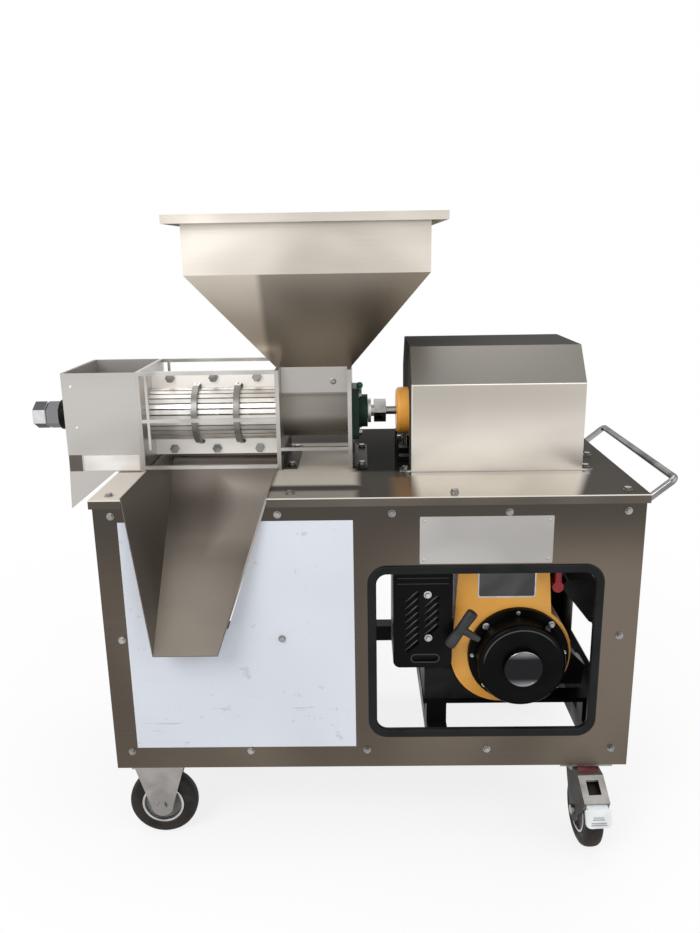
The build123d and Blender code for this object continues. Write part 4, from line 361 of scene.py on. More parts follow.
def patch_mask(tree, low, high, edge, slant=0.0):
    """A soft mask over a box given by two machine corners, its x sliding by slant for each y."""
    near, far = at(*low), at(*high)
    values = {"Middle": (near + far) / 2, "Half": (far - near) / 2, "Edge": edge * MM, "Slant": slant}
    return place_group(tree, patch_group, **values)["Patch"]


def even(value):
    """Three numbers as given, or one number three times."""
    return value if isinstance(value, tuple) else (value, value, value)


def finish(name, dark, light, rough, metallic, lines, marks, bump, leaning=None, dust=None, line_share=0.2,
           coat=0.0, fade=None, shine=0.5, edge=1.0, sides=(), painted_sides=(), patches=(), on=""):
    """A material with blended tone, marked roughness and a fine bump.

    sides paints light or shade on faces of one direction, and the side names after it take the metal from
    such faces, so that they show that painted tone. leaning paints a reflection tone on leaning faces, and
    fade a tone by height. patches colours boxes, each a pair of corners, an edge, a colour, whether it is
    metal and perhaps a slant. on names the CAD nodes that wear the finish.
    """
    material, tree, shader = new_material(name)
    fine = place_group(tree, lines_group, Stretch=even(lines))["Lines"]
    broad = place_group(tree, marks_group, Stretch=even(marks))["Marks"]
    mixed = add_node(tree, "Mix", {"Factor": line_share, 2: broad, 3: fine}).outputs[0]
    colour = blend(tree, mixed, even(dark), even(light))
    # A tone by height, used by the sheet finishes as painted reflection and painted shade.
    if fade:
        low, high, tone = fade
        height = place_group(tree, fade_group, Low=at(0, 0, low).z, High=at(0, 0, high).z)["Fade"]
        colour = blend(tree, height, colour, tone)
    lean = place_group(tree, lean_group) if leaning or dust else None
    # A painted reflection tone on leaning faces.
    if leaning:
        colour = blend(tree, lean["Lean"], colour, leaning)
    facing = place_group(tree, sides_group) if sides or painted_sides else None
    # Painted light or shade on faces of one direction.
    for side, tone in sides:
        colour = blend(tree, facing[side], colour, tone)
    metal = metallic
    # These faces lose their metal, so they show their painted tone instead of the white room.
    for side in painted_sides:
        metal = combine(tree, "MINIMUM", metal, combine(tree, "SUBTRACT", 1, facing[side]))
    for low, high, soft, tone, is_metal, *slant in patches:
        mask = patch_mask(tree, low, high, soft, *slant)
        if painted_sides:
            mask = combine(tree, "MULTIPLY", mask, facing[painted_sides[0]])
        colour = blend(tree, mask, colour, tone)
        if is_metal and painted_sides:
            metal = combine(tree, "MAXIMUM", metal, mask)
    if dust:
        colour = blend(tree, combine(tree, "MULTIPLY", lean["Up"], broad), colour, dust)
    tree.links.new(colour, shader.inputs["Base Color"])
    tree.links.new(spread(tree, broad, 0, 1, *rough), shader.inputs["Roughness"])
    if painted_sides:
        tree.links.new(metal, shader.inputs["Metallic"])
    else:
        shader.inputs["Metallic"].default_value = metallic
    shader.inputs["Coat Weight"].default_value = coat
    shader.inputs["Specular IOR Level"].default_value = shine
    shader.inputs["Specular Tint"].default_value = (edge, edge, edge, 1)
    relief = add_node(tree, "Bump", {"Strength": bump, "Distance": MM, "Height": fine})
    tree.links.new(relief.outputs["Normal"], shader.inputs["Normal"])
    for node in on.split():
        for slot in nodes[node].material_slots:
            slot.material = material
        bare.remove(node)
    return material


print("nodes to dress", len(bare))

# %% [markdown]
# Most of the machine is stainless sheet: the hopper, hood and box are satin and pale, the cabinet front has a
# horizontal grain, and the table is polished nearly to a mirror. What a mirror shows depends on the room, so
# much of the tone here is painted reflection and shade: the cabinet's warm brown-grey, the dark top of the
# table with the mirrored hood and chute as soft boxes of tone on it, darker leaning and top faces, and a
# shaded chute with a lit side.

# %% Sheet steel finishes
ALONG_X = (8, 1500, 1500)
UPRIGHT_GRAIN = (900, 900, 7)
MIRROR_SLANT = 0.367
# Painted reflections on the table top, and a painted shadow line at the hood's foot (the fourth box).
TABLE_REFLECTIONS_AND_SHADOW = [
    ((100, -305, -5), (330, -128, 5), 28, (0.49, 0.456, 0.405), True),
    ((300, -305, -5), (388, -128, 5), 24, (0.46, 0.428, 0.382), True, MIRROR_SLANT),
    ((86, -150, -5), (422, -128, 5), 12, (0.36, 0.335, 0.3), True),
    ((86, -134, -5), (422, -127, 5), 1, (0.07, 0.064, 0.056), True),
    ((-205, -205, -5), (-30, 120, 5), 22, (0.46, 0.42, 0.365), False),
    ((-205, -305, -5), (-30, -262, 5), 18, (0.22, 0.2, 0.175), False),
    ((-505, -305, -5), (-436, -60, 5), 14, (0.56, 0.51, 0.455), False),
    ((-16, -110, -5), (80, 310, 5), 22, (0.014, 0.012, 0.01), False),
    ((60, -300, -5), (72, -180, 5), 26, (0.15, 0.095, 0.056), False),
]
# Painted reflection darkens the hopper's leaning taper, and painted shade darkens its neck under the taper.
hopper_steel = finish(
    "satin_hopper_steel", (0.52, 0.476, 0.418), (0.87, 0.81, 0.73), (0.29, 0.37), 1, ALONG_X, (4, 4, 7),
    0.002, leaning=(0.33, 0.288, 0.237),
    patches=[((-200, -70, 140), (0, 70, 199), 3, (0.44, 0.415, 0.39), True)], on="hopper")
# Painted reflection: the hood's slope, top and left side are dark, and its front darkens towards the top.
hood_steel = finish(
    "satin_hood_steel", (0.8, 0.752, 0.682), (0.97, 0.92, 0.84), (0.29, 0.35), 1, ALONG_X, (6, 6, 8), 0.002,
    leaning=(0.115, 0.11, 0.102), fade=(0, 160, (0.48, 0.442, 0.393)), shine=0,
    sides=[("Top", (0.075, 0.072, 0.068)), ("Left", (0.1, 0.096, 0.089))], painted_sides=("Top", "Left"), on="hood")
# Painted reflection darkens the box's leaning faces.
finish(
    "satin_box_steel", (0.4, 0.38, 0.36), (0.56, 0.535, 0.51), (0.29, 0.37), 1, ALONG_X, (3, 3, 5), 0.004,
    leaning=(0.2, 0.19, 0.175), on="cake_box cake_chute")
# The cabinet's warm brown-grey is painted reflection of a dark room, and it is painted darker towards the top
# as shade.
finish(
    "cabinet_steel_painted_reflection_and_shade", (0.085, 0.07, 0.056), (0.19, 0.157, 0.124), (0.29, 0.36), 1, ALONG_X,
    (1.6, 1.6, 1.1), 0.03, fade=(-160, -20, (0.075, 0.064, 0.054)), line_share=0.15,
    on="front_panel side_panels")
# The table's top is painted dark and loses its metal as a painted reflection, and carries the painted
# reflections and shadow line above.
table_steel = finish(
    "polished_table_steel", (0.085, 0.073, 0.061), (0.15, 0.131, 0.112), (0.08, 0.2), 1, ALONG_X, (4, 6, 6),
    0.01, sides=[("Top", (0.06, 0.053, 0.0465))], painted_sides=("Top",), shine=0.002, patches=TABLE_REFLECTIONS_AND_SHADOW,
    on="table_top")
# The chute's dark tone is painted shade, and its right faces and a soft box on it are painted light.
finish(
    "chute_steel_painted_light_and_shade", (0.115, 0.1, 0.086), (0.21, 0.184, 0.156), (0.3, 0.44), 1, UPRIGHT_GRAIN, (4, 4, 2),
    0.03, edge=0.6, sides=[("Right", (0.52, 0.495, 0.455))],
    patches=[((-266, -500, -105), (-150, 0, 50), 70, (0.38, 0.348, 0.309), True)], on="milk_chute")
print("steel materials", sum("steel" in material.name for material in bpy.data.materials))

# %% [markdown]
# The press is made of plate, bar and bought parts, each of its own brightness: slats rubbed by the coconut,
# zinc on screws, chrome on nuts and handle, pressed steel on casters. They could share one grey, but side
# by side the eye sees every step. On large faces the roughness stays on one side of 0.28, because the
# denoiser draws a line where it crosses that.

# %% Bar, bolt and caster steel finishes
FLANGES = [((-452, -12, low), (-179, 12, low + 42), 1, (0.9, 0.868, 0.82), True) for low in (10, 149)]
SECOND_NUT = ((-664, -40, 50), (-634, 40, 150), 1, (0.24, 0.24, 0.25), True)
finish(
    "worn_plate_steel", (0.36, 0.342, 0.32), (0.56, 0.535, 0.505), (0.29, 0.4), 1, ALONG_X, (5, 5, 7), 0.01,
    on="press_plates")
# The feed housing's dark tone is painted shade under the hopper.
finish(
    "feed_steel_painted_shade", (0.23, 0.212, 0.19), (0.33, 0.305, 0.27), (0.46, 0.58), 1, ALONG_X, (5, 5, 8), 0.03,
    on="feed_housing")
bright_steel = finish(
    "bright_worn_steel", (0.56, 0.54, 0.51), (0.84, 0.81, 0.775), (0.29, 0.4), 0.6, ALONG_X, (10, 10, 14),
    0.03, patches=FLANGES, on="cage_front cage_rear press_screw pressure_cone")
finish(
    "grey_bar_steel", (0.42, 0.4, 0.375), (0.62, 0.595, 0.565), (0.29, 0.4), 1, ALONG_X, 12, 0.04,
    on="tie_bars")
finish(
    "dark_foot_steel", (0.055, 0.052, 0.048), (0.13, 0.122, 0.112), (0.3, 0.45), 1, 120, 20, 0.05, edge=0.5,
    on="press_feet")
plated_steel = finish(
    "zinc_plated_steel", (0.22, 0.215, 0.21), (0.46, 0.45, 0.435), (0.29, 0.36), 1, 90, 40, 0.05,
    on="panel_screws frame_bolts worm_shaft crankshaft shaft_coupling")
dark_bolt = finish(
    "worn_cage_bolt_steel", (0.16, 0.153, 0.146), (0.38, 0.365, 0.347), (0.29, 0.4), 1, 90, 40, 0.05,
    on="cage_bolts")
# Painted reflection darkens the nuts' leaning faces.
finish(
    "bright_chrome_nut", (0.62, 0.62, 0.63), (0.86, 0.86, 0.87), (0.06, 0.14), 1, 60, 20, 0.01,
    leaning=(0.13, 0.13, 0.142), edge=0.5, patches=[SECOND_NUT], on="adjusting_nuts")
finish(
    "dark_chrome_handle", (0.15, 0.153, 0.155), (0.46, 0.455, 0.445), (0.1, 0.18), 1, 30, 9, 0, edge=0.5,
    on="push_handle")
finish(
    "pressed_caster_steel", (0.27, 0.258, 0.246), (0.42, 0.4, 0.382), (0.3, 0.45), 1, 120, 18, 0.06,
    on="fixed_forks swivel_plates")
swivel_steel = finish(
    "shaded_swivel_steel", (0.19, 0.182, 0.172), (0.36, 0.345, 0.328), (0.3, 0.45), 1, 120, 22, 0.06,
    edge=0.6, sides=[("Left", (0.075, 0.071, 0.064))], on="swivel_fork_front swivel_fork_back")
hoop_steel = finish(
    "dull_hoop_steel", (0.12, 0.112, 0.105), (0.24, 0.225, 0.212), (0.32, 0.5), 1, 60, 24, 0.08)
bright_ring = finish("bright_rim_ring", 0.4, (0.62, 0.62, 0.61), (0.29, 0.36), 1, 60, 30, 0.03)
print("materials so far", len(bpy.data.materials))

# %% [markdown]
# The rest is paint, rubber and plastic. Powder coat has a fine peel, enamel is smoother, castings are
# grainy, and rubber is dull with dust where it faces up. A flat colour would look like a toy, so even black
# gets two tones and a wandering roughness. After this no CAD node is bare.

# %% Paint, casting, rubber and plastic finishes
PEEL = 420
finish(
    "black_powder_coat", (0.002, 0.0021, 0.0022), (0.0055, 0.0056, 0.0057), (0.3, 0.5), 0, PEEL, 9, 0.05,
    dust=(0.006, 0.0059, 0.0057), shine=0.07,
    on="frame_posts frame_rails engine_bed reducer_base muffler_guard threaded_boss fuel_tank")
recoil_black = finish(
    "black_pressed_cover", 0.0018, (0.0045, 0.0044, 0.0043), (0.24, 0.4), 0, PEEL, 14, 0.03, shine=0.05,
    on="recoil_housing")
glossy_black = finish("glossy_black_lip", 0.004, 0.009, (0.22, 0.34), 0, PEEL, 30, 0.02, shine=0.55)
finish(
    "amber_enamel", (0.74, 0.345, 0.06), (0.86, 0.43, 0.09), (0.24, 0.36), 0, PEEL, 8, 0.02, shine=0.22,
    on="blower_housing")
finish(
    "orange_enamel", (1.0, 0.43, 0.065), (1.0, 0.5, 0.1), (0.26, 0.4), 0, PEEL, 12, 0.04, coat=0.1,
    shine=0.3, on="reducer_nose reducer_housing")
finish(
    "dark_green_enamel", (0.021, 0.042, 0.032), (0.038, 0.074, 0.054), (0.34, 0.5), 0, PEEL, 20, 0.08,
    shine=0.08, on="flange_bearing")
finish(
    "painted_black_casting", (0.006, 0.006, 0.0062), (0.014, 0.014, 0.0145), (0.4, 0.6), 0, 260, 20, 0.2,
    shine=0.2, on="crankcase muffler")
finish("cast_aluminium", (0.2, 0.2, 0.205), 0.36, (0.4, 0.6), 1, 260, 20, 0.25, on="cylinder")
finish(
    "cast_iron", (0.035, 0.035, 0.037), (0.085, 0.083, 0.08), (0.42, 0.6), 0.8, 240, 24, 0.25,
    on="driven_pulley drive_pulley flywheel")
gear_bronze = finish(
    "gear_bronze", (0.4, 0.235, 0.075), (0.62, 0.41, 0.16), (0.24, 0.4), 1, 120, 24, 0.05, on="worm_wheel")
finish(
    "window_trim_rubber", (0.004, 0.0045, 0.005), (0.009, 0.0097, 0.0105), (0.4, 0.58), 0, 300, 12, 0.08,
    dust=(0.014, 0.014, 0.015), shine=0.16, on="window_trim")
tyre_rubber = finish(
    "caster_tyre_rubber", (0.01, 0.0084, 0.0073), (0.031, 0.0252, 0.0218), (0.5, 0.75), 0, 160, 26, 0.25,
    dust=(0.046, 0.037, 0.031), shine=0.18,
    on="fixed_wheel_front fixed_wheel_back swivel_wheel_front swivel_wheel_back")
finish("belt_rubber", 0.012, 0.03, (0.6, 0.8), 0, 500, 20, 0.2, shine=0.25, on="drive_belt")
finish(
    "black_moulded_plastic", (0.008, 0.008, 0.009), (0.02, 0.02, 0.022), (0.36, 0.52), 0, PEEL, 18, 0.1,
    shine=0.25, on="starter_grip air_cleaner recoil_reel fuel_cap")
finish(
    "red_knob_plastic", (0.3, 0.008, 0.012), (0.42, 0.016, 0.022), (0.24, 0.4), 0, PEEL, 30, 0.05,
    shine=0.4, on="fuel_cock")
finish(
    "pale_pedal_plastic", (0.56, 0.585, 0.59), (0.7, 0.725, 0.73), (0.34, 0.5), 0, PEEL, 24, 0.06,
    shine=0.4, on="brake_pedal_front brake_pedal_back")
rim_plastic = finish(
    "grey_caster_rim", 0.1, (0.19, 0.19, 0.188), (0.35, 0.55), 0.3, 140, 24, 0.1, shine=0.3)
print("undressed nodes", sorted(bare))

# %% [markdown]
# Two parts carry two metals in one solid: the cage's slats are bright but its welded hoops are dull, and
# the bronze wheel's hub runs on as a steel shaft. They could be cut apart in CAD, but a mask by distance
# from the shaft is enough to repaint one region.

# %% Second metal by distance from the shaft
SHAFT = at(0, 0, 100)
HOOPS_AT = (-350, -264)
HOOP_HALF = 6.3
HOOP_NEAR, HOOP_FAR = 56.2 * MM, 56.6 * MM
HUB_RADIUS = 12.75
MASK_SOFT = 0.4


def repaint(material, mask, colour):
    """Blend a second colour into a finished material."""
    tree = material.node_tree
    base = next(node for node in tree.nodes if node.type == "BSDF_PRINCIPLED").inputs["Base Color"]
    tree.links.new(blend(tree, mask, base.links[0].from_socket, colour), base)


def inside_radius(tree, place, axis, radius):
    """A mask of what lies within a radius in millimetres of a line."""
    near, far = (radius - MASK_SOFT) * MM, (radius + MASK_SOFT) * MM
    beyond = place_group(tree, shaft_group, Middle=place, Axis=axis, Near=near, Far=far)["Outside"]
    return combine(tree, "SUBTRACT", 1, beyond)


tree = bright_steel.node_tree
outside = place_group(tree, shaft_group, Middle=SHAFT, Near=HOOP_NEAR, Far=HOOP_FAR)["Outside"]
for x in HOOPS_AT:
    band = patch_mask(tree, (x - HOOP_HALF, -80, 40), (x + HOOP_HALF, 80, 160), 0.5)
    repaint(bright_steel, combine(tree, "MULTIPLY", band, outside), (0.24, 0.23, 0.215))
repaint(gear_bronze, inside_radius(gear_bronze.node_tree, SHAFT, (1, 0, 0), HUB_RADIUS), (0.34, 0.33, 0.315))
print("repainted", bright_steel.name, gear_bronze.name)

# %% [markdown]
# Folds and rims catch thin highlights, and each part of the hopper's taper mirrors another side of the room.
# Thin bevels alone are narrower than a pixel, so masks draw painted highlights on the hood's folds, the
# table's front edge and the starter cover's rim, and give the taper its painted reflections.

# %% Painted highlights on folds and painted reflections on the taper
FOLD_SOFT = 0.8
HOOD_FOLD_HIGHLIGHTS = [((87, -140, 171.4), (422, -120, 172.6)), ((86, -140, 0), (88, -125, 172)),
              ((87, -140, 0.8), (422, -120, 2))]
TABLE_EDGE_HIGHLIGHT = ((-502, -303, -1.2), (502, -298.5, 1.2))
TAPER_REFLECTIONS = [((-400, -300, 150), (-200, 300, 420), 16, (0.9, 0.825, 0.725)),
               ((95, -300, 150), (400, 300, 420), 90, (0.29, 0.253, 0.21))]
COVER = (292, -350)
CAP_Y = -280
RIM_HIGHLIGHT_RADII = (76, 73.6)
RIM_HIGHLIGHT_PART = ((200, -300, -322), (335, -200, -260), 26)

# Painted highlights: thin bright lines on the hood's folds and the table's front edge.
for low, high in HOOD_FOLD_HIGHLIGHTS:
    repaint(hood_steel, patch_mask(hood_steel.node_tree, low, high, FOLD_SOFT), (0.86, 0.82, 0.755))
repaint(table_steel, patch_mask(table_steel.node_tree, *TABLE_EDGE_HIGHLIGHT, FOLD_SOFT), (0.8, 0.745, 0.67))
# Painted reflections on the taper's leaning faces: bright on the left, dark on the right.
tree = hopper_steel.node_tree
leans = combine(tree, "GREATER_THAN", place_group(tree, lean_group)["Lean"], 0.1)
for low, high, soft, tone in TAPER_REFLECTIONS:
    repaint(hopper_steel, combine(tree, "MULTIPLY", patch_mask(tree, low, high, soft), leans), tone)
# A painted highlight: a thin grey arc on the upper rim of the starter cover.
tree = recoil_black.node_tree
cover_middle = at(COVER[0], CAP_Y, COVER[1])
outer, inner = (inside_radius(tree, cover_middle, (0, 1, 0), radius) for radius in RIM_HIGHLIGHT_RADII)
rim = combine(tree, "SUBTRACT", outer, inner)
repaint(recoil_black, combine(tree, "MULTIPLY", rim, patch_mask(tree, *RIM_HIGHLIGHT_PART)), (0.07, 0.07, 0.066))
print("repainted", hood_steel.name, table_steel.name, hopper_steel.name, recoil_black.name)

# %% [markdown]
# Folded sheet and castings never end in a razor edge, and the thin highlight along a fold makes metal look
# real. The CAD meshes may not be edited, but a Bevel modifier only rounds what is shown: wide on castings,
# narrow on sheet.

# %% Rounded edges
EDGE_ANGLE = math.radians(32)
EDGES = {
    0.5: "hopper hood cake_box cake_chute milk_chute table_top press_plates press_feet tie_bars feed_housing "
         "front_panel side_panels muffler_guard",
    0.8: "panel_screws frame_bolts cage_bolts shaft_coupling reducer_base fixed_forks swivel_plates "
         "swivel_fork_front swivel_fork_back fuel_cock adjusting_nuts",
    2.0: "frame_posts frame_rails engine_bed flange_bearing air_cleaner fuel_tank blower_housing crankcase",
    2.4: "brake_pedal_front brake_pedal_back",
}
for width, names in EDGES.items():
    for name in names.split():
        rounding = nodes[name].modifiers.new("rounded_edges", "BEVEL")
        rounding.width = width * MM
        rounding.segments = 2
        rounding.limit_method = "ANGLE"
        rounding.angle_limit = EDGE_ANGLE
print("rounded", sum(len(names.split()) for names in EDGES.values()))

# %% [markdown]
# Tyres, rims, bolts and nipples are turned shapes: a profile swung round an axis. Blender has a Spin tool
# and a Screw modifier for that, but a small function that writes the rings itself can aim the axis any way
# and put several shapes in one mesh.

# %% Turned shapes


def join_rings(builder, first, second):
    """Faces between two closed rings of points, where a ring of one point is a tip."""
    steps = max(len(first), len(second))
    for n in range(steps):
        m = (n + 1) % steps
        if len(first) == 1:
            builder.faces.new((first[0], second[n], second[m]))
        elif len(second) == 1:
            builder.faces.new((first[n], first[m], second[0]))
        else:
            builder.faces.new((first[n], first[m], second[m], second[n]))


def swing(builder, profile, place, axis, steps, closed=False):
    """Swing (radius, along) millimetre points round an axis; a radius of 0 closes that end."""
    axis = Vector(axis).normalized()
    helper = Vector((0, 0, 1)) if abs(axis.z) < 0.9 else Vector((1, 0, 0))
    first = axis.cross(helper).normalized()
    second = axis.cross(first)
    angles = [2 * math.pi * n / steps for n in range(steps)]
    spokes = [first * math.cos(angle) + second * math.sin(angle) for angle in angles]
    rings = []
    for radius, along in profile:
        middle = Vector(place) + axis * along * MM
        ways = spokes if radius else [Vector()]
        rings.append([builder.verts.new(middle + way * radius * MM) for way in ways])
    followers = rings[1:] + rings[:1] if closed else rings[1:]
    for ring, follower in zip(rings, followers):
        join_rings(builder, ring, follower)


def mirrored(profile):
    """A half profile and its mirror image, as one closed loop."""
    return profile + [(radius, -along) for radius, along in reversed(profile)]


def put_on(name, builder, smooth, material, slot, body="machine"):
    """A new piece from its mesh builder, with its material and its body. Its slot is not used."""
    piece = piece_from(name, builder, smooth)
    piece.data.materials.append(material)
    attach(piece, body)
    return piece


print("helpers", swing.__name__, put_on.__name__)

# %% [markdown]
# Each caster wheel is a black rubber tyre on a grey dished rim with a bright ring at its edge. The plain
# CAD disc could be painted, but three turned pieces of the same size show the real steps. The record's
# joint gives their axle, and the place of the bright nut on each swivelling fork.

# %% Caster wheels
WHEEL_STEPS = 72
NUT_RADIUS = 9
TYRE = mirrored([(40.2, 12), (42.2, 15.4), (44, 17), (47, 17.7), (48, 17.2), (49, 17.7), (55, 17.6),
                 (60, 16.7), (64, 14.4), (66.4, 11), (67.5, 7), (67.95, 3)])
RIM_RING = mirrored([(40, 10.5), (42, 14.8), (41.6, 16.8), (39.6, 17.6), (37.4, 16.8), (36.4, 13),
                     (36.4, 10.5)])
RIM_DISC = mirrored([(40, 6), (37.2, 8.2), (36, 9.8), (33, 9.2), (24, 7.6), (19, 8.4), (17, 11), (16.6, 20),
                     (15.4, 20.7), (7, 20.7), (6.2, 19.8)])
WHEEL_PIECES = [("tyre", TYRE, tyre_rubber, "tyre"), ("rim_ring", RIM_RING, bright_ring, "zinc"),
                ("rim_disc", RIM_DISC, rim_plastic, "tyre")]
WHEELS = {
    "fixed_wheel_front": "left_front_wheel", "fixed_wheel_back": "left_back_wheel",
    "swivel_wheel_front": "right_front_wheel", "swivel_wheel_back": "right_back_wheel",
}
record_joints = {joint["name"]: joint for joint in frame["record"]["behaviour"]["joints"]}
for node, body in WHEELS.items():
    axle = record_joints[body + "_spin"]
    for part, profile, material, slot in WHEEL_PIECES:
        builder = bmesh.new()
        swing(builder, profile, axle["pos_m"], axle["axis"], WHEEL_STEPS, closed=True)
        piece = put_on(f"{part}_{body}", builder, 35, material, slot, body)
        if part == "tyre":
            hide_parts(node)
    if node.startswith("swivel"):
        nut = inside_radius(swivel_steel.node_tree, axle["pos_m"], axle["axis"], NUT_RADIUS)
        repaint(swivel_steel, nut, (0.55, 0.545, 0.53))
print("wheel pieces", len(WHEEL_PIECES) * len(WHEELS))

# %% [markdown]
# The starter grip is a moulded T: a bar that swells towards its ends, flattened front to back, with a
# ribbed sleeve. It could be sculpted, but turned profiles squeezed along one axis give the same form
# exactly where the CAD grip is.

# %% Starter grip
GRIP = at(174, -262, -274)
GRIP_LEAN = math.radians(33)
GRIP_SQUEEZE = 0.86
BAR_WAY = (math.sin(GRIP_LEAN), 0, math.cos(GRIP_LEAN))
STEM_WAY = (math.cos(GRIP_LEAN), 0, -math.sin(GRIP_LEAN))
BAR_HALF = [(0, 42), (8.2, 41.8), (10.4, 40.4), (11.2, 37), (11, 26), (10.4, 12), (10.2, 0)]
BAR = [(radius, -along) for radius, along in BAR_HALF] + BAR_HALF[-2::-1]
STEM = [(0, 2), (8, 4), (7.8, 12), (7, 18), (7.4, 20), (6.8, 22), (7.2, 25), (6.5, 27), (6.8, 30), (6, 33),
        (5.6, 41), (0, 42)]
builder = bmesh.new()
swing(builder, BAR, GRIP, BAR_WAY, 32)
for vert in builder.verts:
    vert.co.y = GRIP.y + (vert.co.y - GRIP.y) * GRIP_SQUEEZE
swing(builder, STEM, GRIP, STEM_WAY, 24)
grip_plastic = finish(
    "grey_grip_plastic", (0.016, 0.0163, 0.018), (0.034, 0.0347, 0.0375), (0.36, 0.5), 0, PEEL, 30, 0.08,
    shine=0.3)
grip = put_on("starter_handle", builder, 40, grip_plastic, "black_plastic", "starter")
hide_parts("starter_grip")
print("grip points", len(grip.data.vertices))

# %% [markdown]
# The left half of the front still has its white protective film, cut round the chute. A texture on the
# panel would be simpler, but a real edge catches light and the panel's screws can stand through it, so it
# is a slab a quarter of a millimetre thick. Its scuffs are the peaks of the fine lines.

# %% Protective film
PANEL_Y = -295
FILM_THICK = 0.25
FILM = [(-452, -43), (-436.4, -43), (-400.2, -253), (-262.7, -253), (-193.2, -43), (-28, -43), (-28, -503),
        (-452, -503)]
SCRATCH_LOW, SCRATCH_HIGH = -430, -330


def slab(builder, first, second):
    """A closed slab between two equal outlines of points."""
    back, front = ([builder.verts.new(point) for point in outline] for outline in (first, second))
    builder.faces.new(front)
    builder.faces.new(back[::-1])
    join_rings(builder, back, front)


def upright_slab(builder, outline, back, front):
    """An (x, z) outline in machine millimetres, pushed from a back depth to a front depth."""
    slab(builder, [at(x, back, z) for x, z in outline], [at(x, front, z) for x, z in outline])


film_plastic, tree, shader = new_material("white_film")
clouds = place_group(tree, marks_group, Stretch=(3, 3, 3))["Marks"]
scuffs = place_group(tree, lines_group, Stretch=(34, 34, 46))["Lines"]
scratches = place_group(tree, lines_group, Stretch=(9, 9, 120))["Lines"]
higher = place_group(tree, fade_group, Low=at(0, 0, SCRATCH_LOW).z, High=at(0, 0, SCRATCH_HIGH).z)["Fade"]
lower = combine(tree, "SUBTRACT", 1, higher)
low_scratches = combine(tree, "MULTIPLY", spread(tree, scratches, 0.9, 1, 0, 0.4), lower)
tone = blend(tree, clouds, (0.545, 0.575, 0.635), (0.6, 0.628, 0.686))
tone = blend(tree, spread(tree, scuffs, 0.93, 1, 0, 0.35), tone, (0.3, 0.31, 0.34))
tone = blend(tree, low_scratches, tone, (0.22, 0.23, 0.26))
tree.links.new(tone, shader.inputs["Base Color"])
tree.links.new(spread(tree, clouds, 0, 1, 0.34, 0.5), shader.inputs["Roughness"])
builder = bmesh.new()
upright_slab(builder, FILM, PANEL_Y, PANEL_Y - FILM_THICK)
put_on("protective_film", builder, None, film_plastic, "pale_plastic")
print("film outline points", len(FILM))

# %% [markdown]
# Over the window sits a blank aluminium plate with a rivet in each corner, and the blower housing has a
# blank dark plate in a thin frame. Painted patches would be flat, so both are sheets with rounded corners,
# and the rivets are turned.

# %% Blank plates and rivets
TO_FRONT = (0, -1, 0)
SHROUD_Y = -215
PLATE_THICK, FRAME_THICK = 0.9, 0.5
RIVET = [(3.4, 0), (3.3, 0.6), (2.6, 1.4), (1.4, 1.8), (0, 1.9)]


def rounded_outline(left, right, low, high, radius, steps=5):
    """A rectangle's (x, z) outline with round corners."""
    points = []
    for x, z, start in ((right - radius, high - radius, 0), (left + radius, high - radius, 90),
                        (left + radius, low + radius, 180), (right - radius, low + radius, 270)):
        for n in range(steps + 1):
            angle = math.radians(start + 90 * n / steps)
            points.append((x + radius * math.cos(angle), z + radius * math.sin(angle)))
    return points


plate_metal = finish(
    "brushed_plate_aluminium", (0.4, 0.385, 0.37), (0.52, 0.505, 0.485), (0.3, 0.4), 1, ALONG_X, (4, 4, 6),
    0.03)
plate_grey = finish(
    "blank_dark_plate", (0.045, 0.045, 0.047), (0.1, 0.1, 0.102), (0.29, 0.36), 0.4, ALONG_X, (10, 10, 14),
    0.02, shine=0.3)
builder = bmesh.new()
upright_slab(builder, rounded_outline(92, 332, -128, -38, 2), PANEL_Y, PANEL_Y - PLATE_THICK)
for x in (100, 324):
    for z in (-46, -120):
        swing(builder, RIVET, at(x, PANEL_Y - PLATE_THICK, z), TO_FRONT, 16)
put_on("blank_nameplate", builder, 30, plate_metal, "zinc")
builder = bmesh.new()
upright_slab(builder, rounded_outline(211, 323, -231, -157, 5), SHROUD_Y, SHROUD_Y - FRAME_THICK)
put_on("shroud_plate_frame", builder, 30, bright_ring, "zinc")
builder = bmesh.new()
outline = rounded_outline(213.5, 320.5, -228, -157, 4)
upright_slab(builder, outline, SHROUD_Y - FRAME_THICK, SHROUD_Y - PLATE_THICK)
put_on("shroud_blank_plate", builder, 30, plate_grey, "black_paint")
print("corner points of a plate", len(outline))

# %% [markdown]
# The starter cover carries a plain silver disc and a ring of bolts, and the muffler guard has two bolts of
# its own. Every bolt could be an object, but one function makes the hexagonal heads and washers, so they
# share a mesh and a finish.

# %% Engine bolts and the silver disc
RING_Y = -226
GUARD_Y = -240
BOLT_RING = 90.5
COVER_BOLTS = [(135.5, 9.5), (46.7, 9.5), (92, 5.5), (178.9, 5.5), (4.2, 5.5), (223.6, 7)]
GUARD_BOLTS = [(112, -213), (114, -303)]
SILVER_CAP = [(36.6, 0), (36.6, 0.9), (35.8, 1.5), (34.2, 1.5), (33.6, 1.1), (30, 1.4), (18, 2.0), (0, 2.3)]
# A painted reflection: a soft dark band across the middle of the silver disc.
CAP_REFLECTION_BAND = ((COVER[0] - 40, CAP_Y - 5, COVER[1] - 19), (COVER[0] + 40, CAP_Y + 5, COVER[1] + 19), 20)


def hex_bolt(builder, place, across, head, washer):
    """A hexagonal head with a chamfered top on a thin washer, facing the front."""
    ring = [(washer, 0), (washer, 1.0), (washer - 0.8, 1.4), (across * 0.45, 1.4)]
    swing(builder, ring, place, TO_FRONT, 24)
    corner = across / math.sqrt(3)
    hexagon = [(corner, 1.3), (corner, head), (corner * 0.84, head + 0.9), (0, head + 0.9)]
    swing(builder, hexagon, place, TO_FRONT, 6)


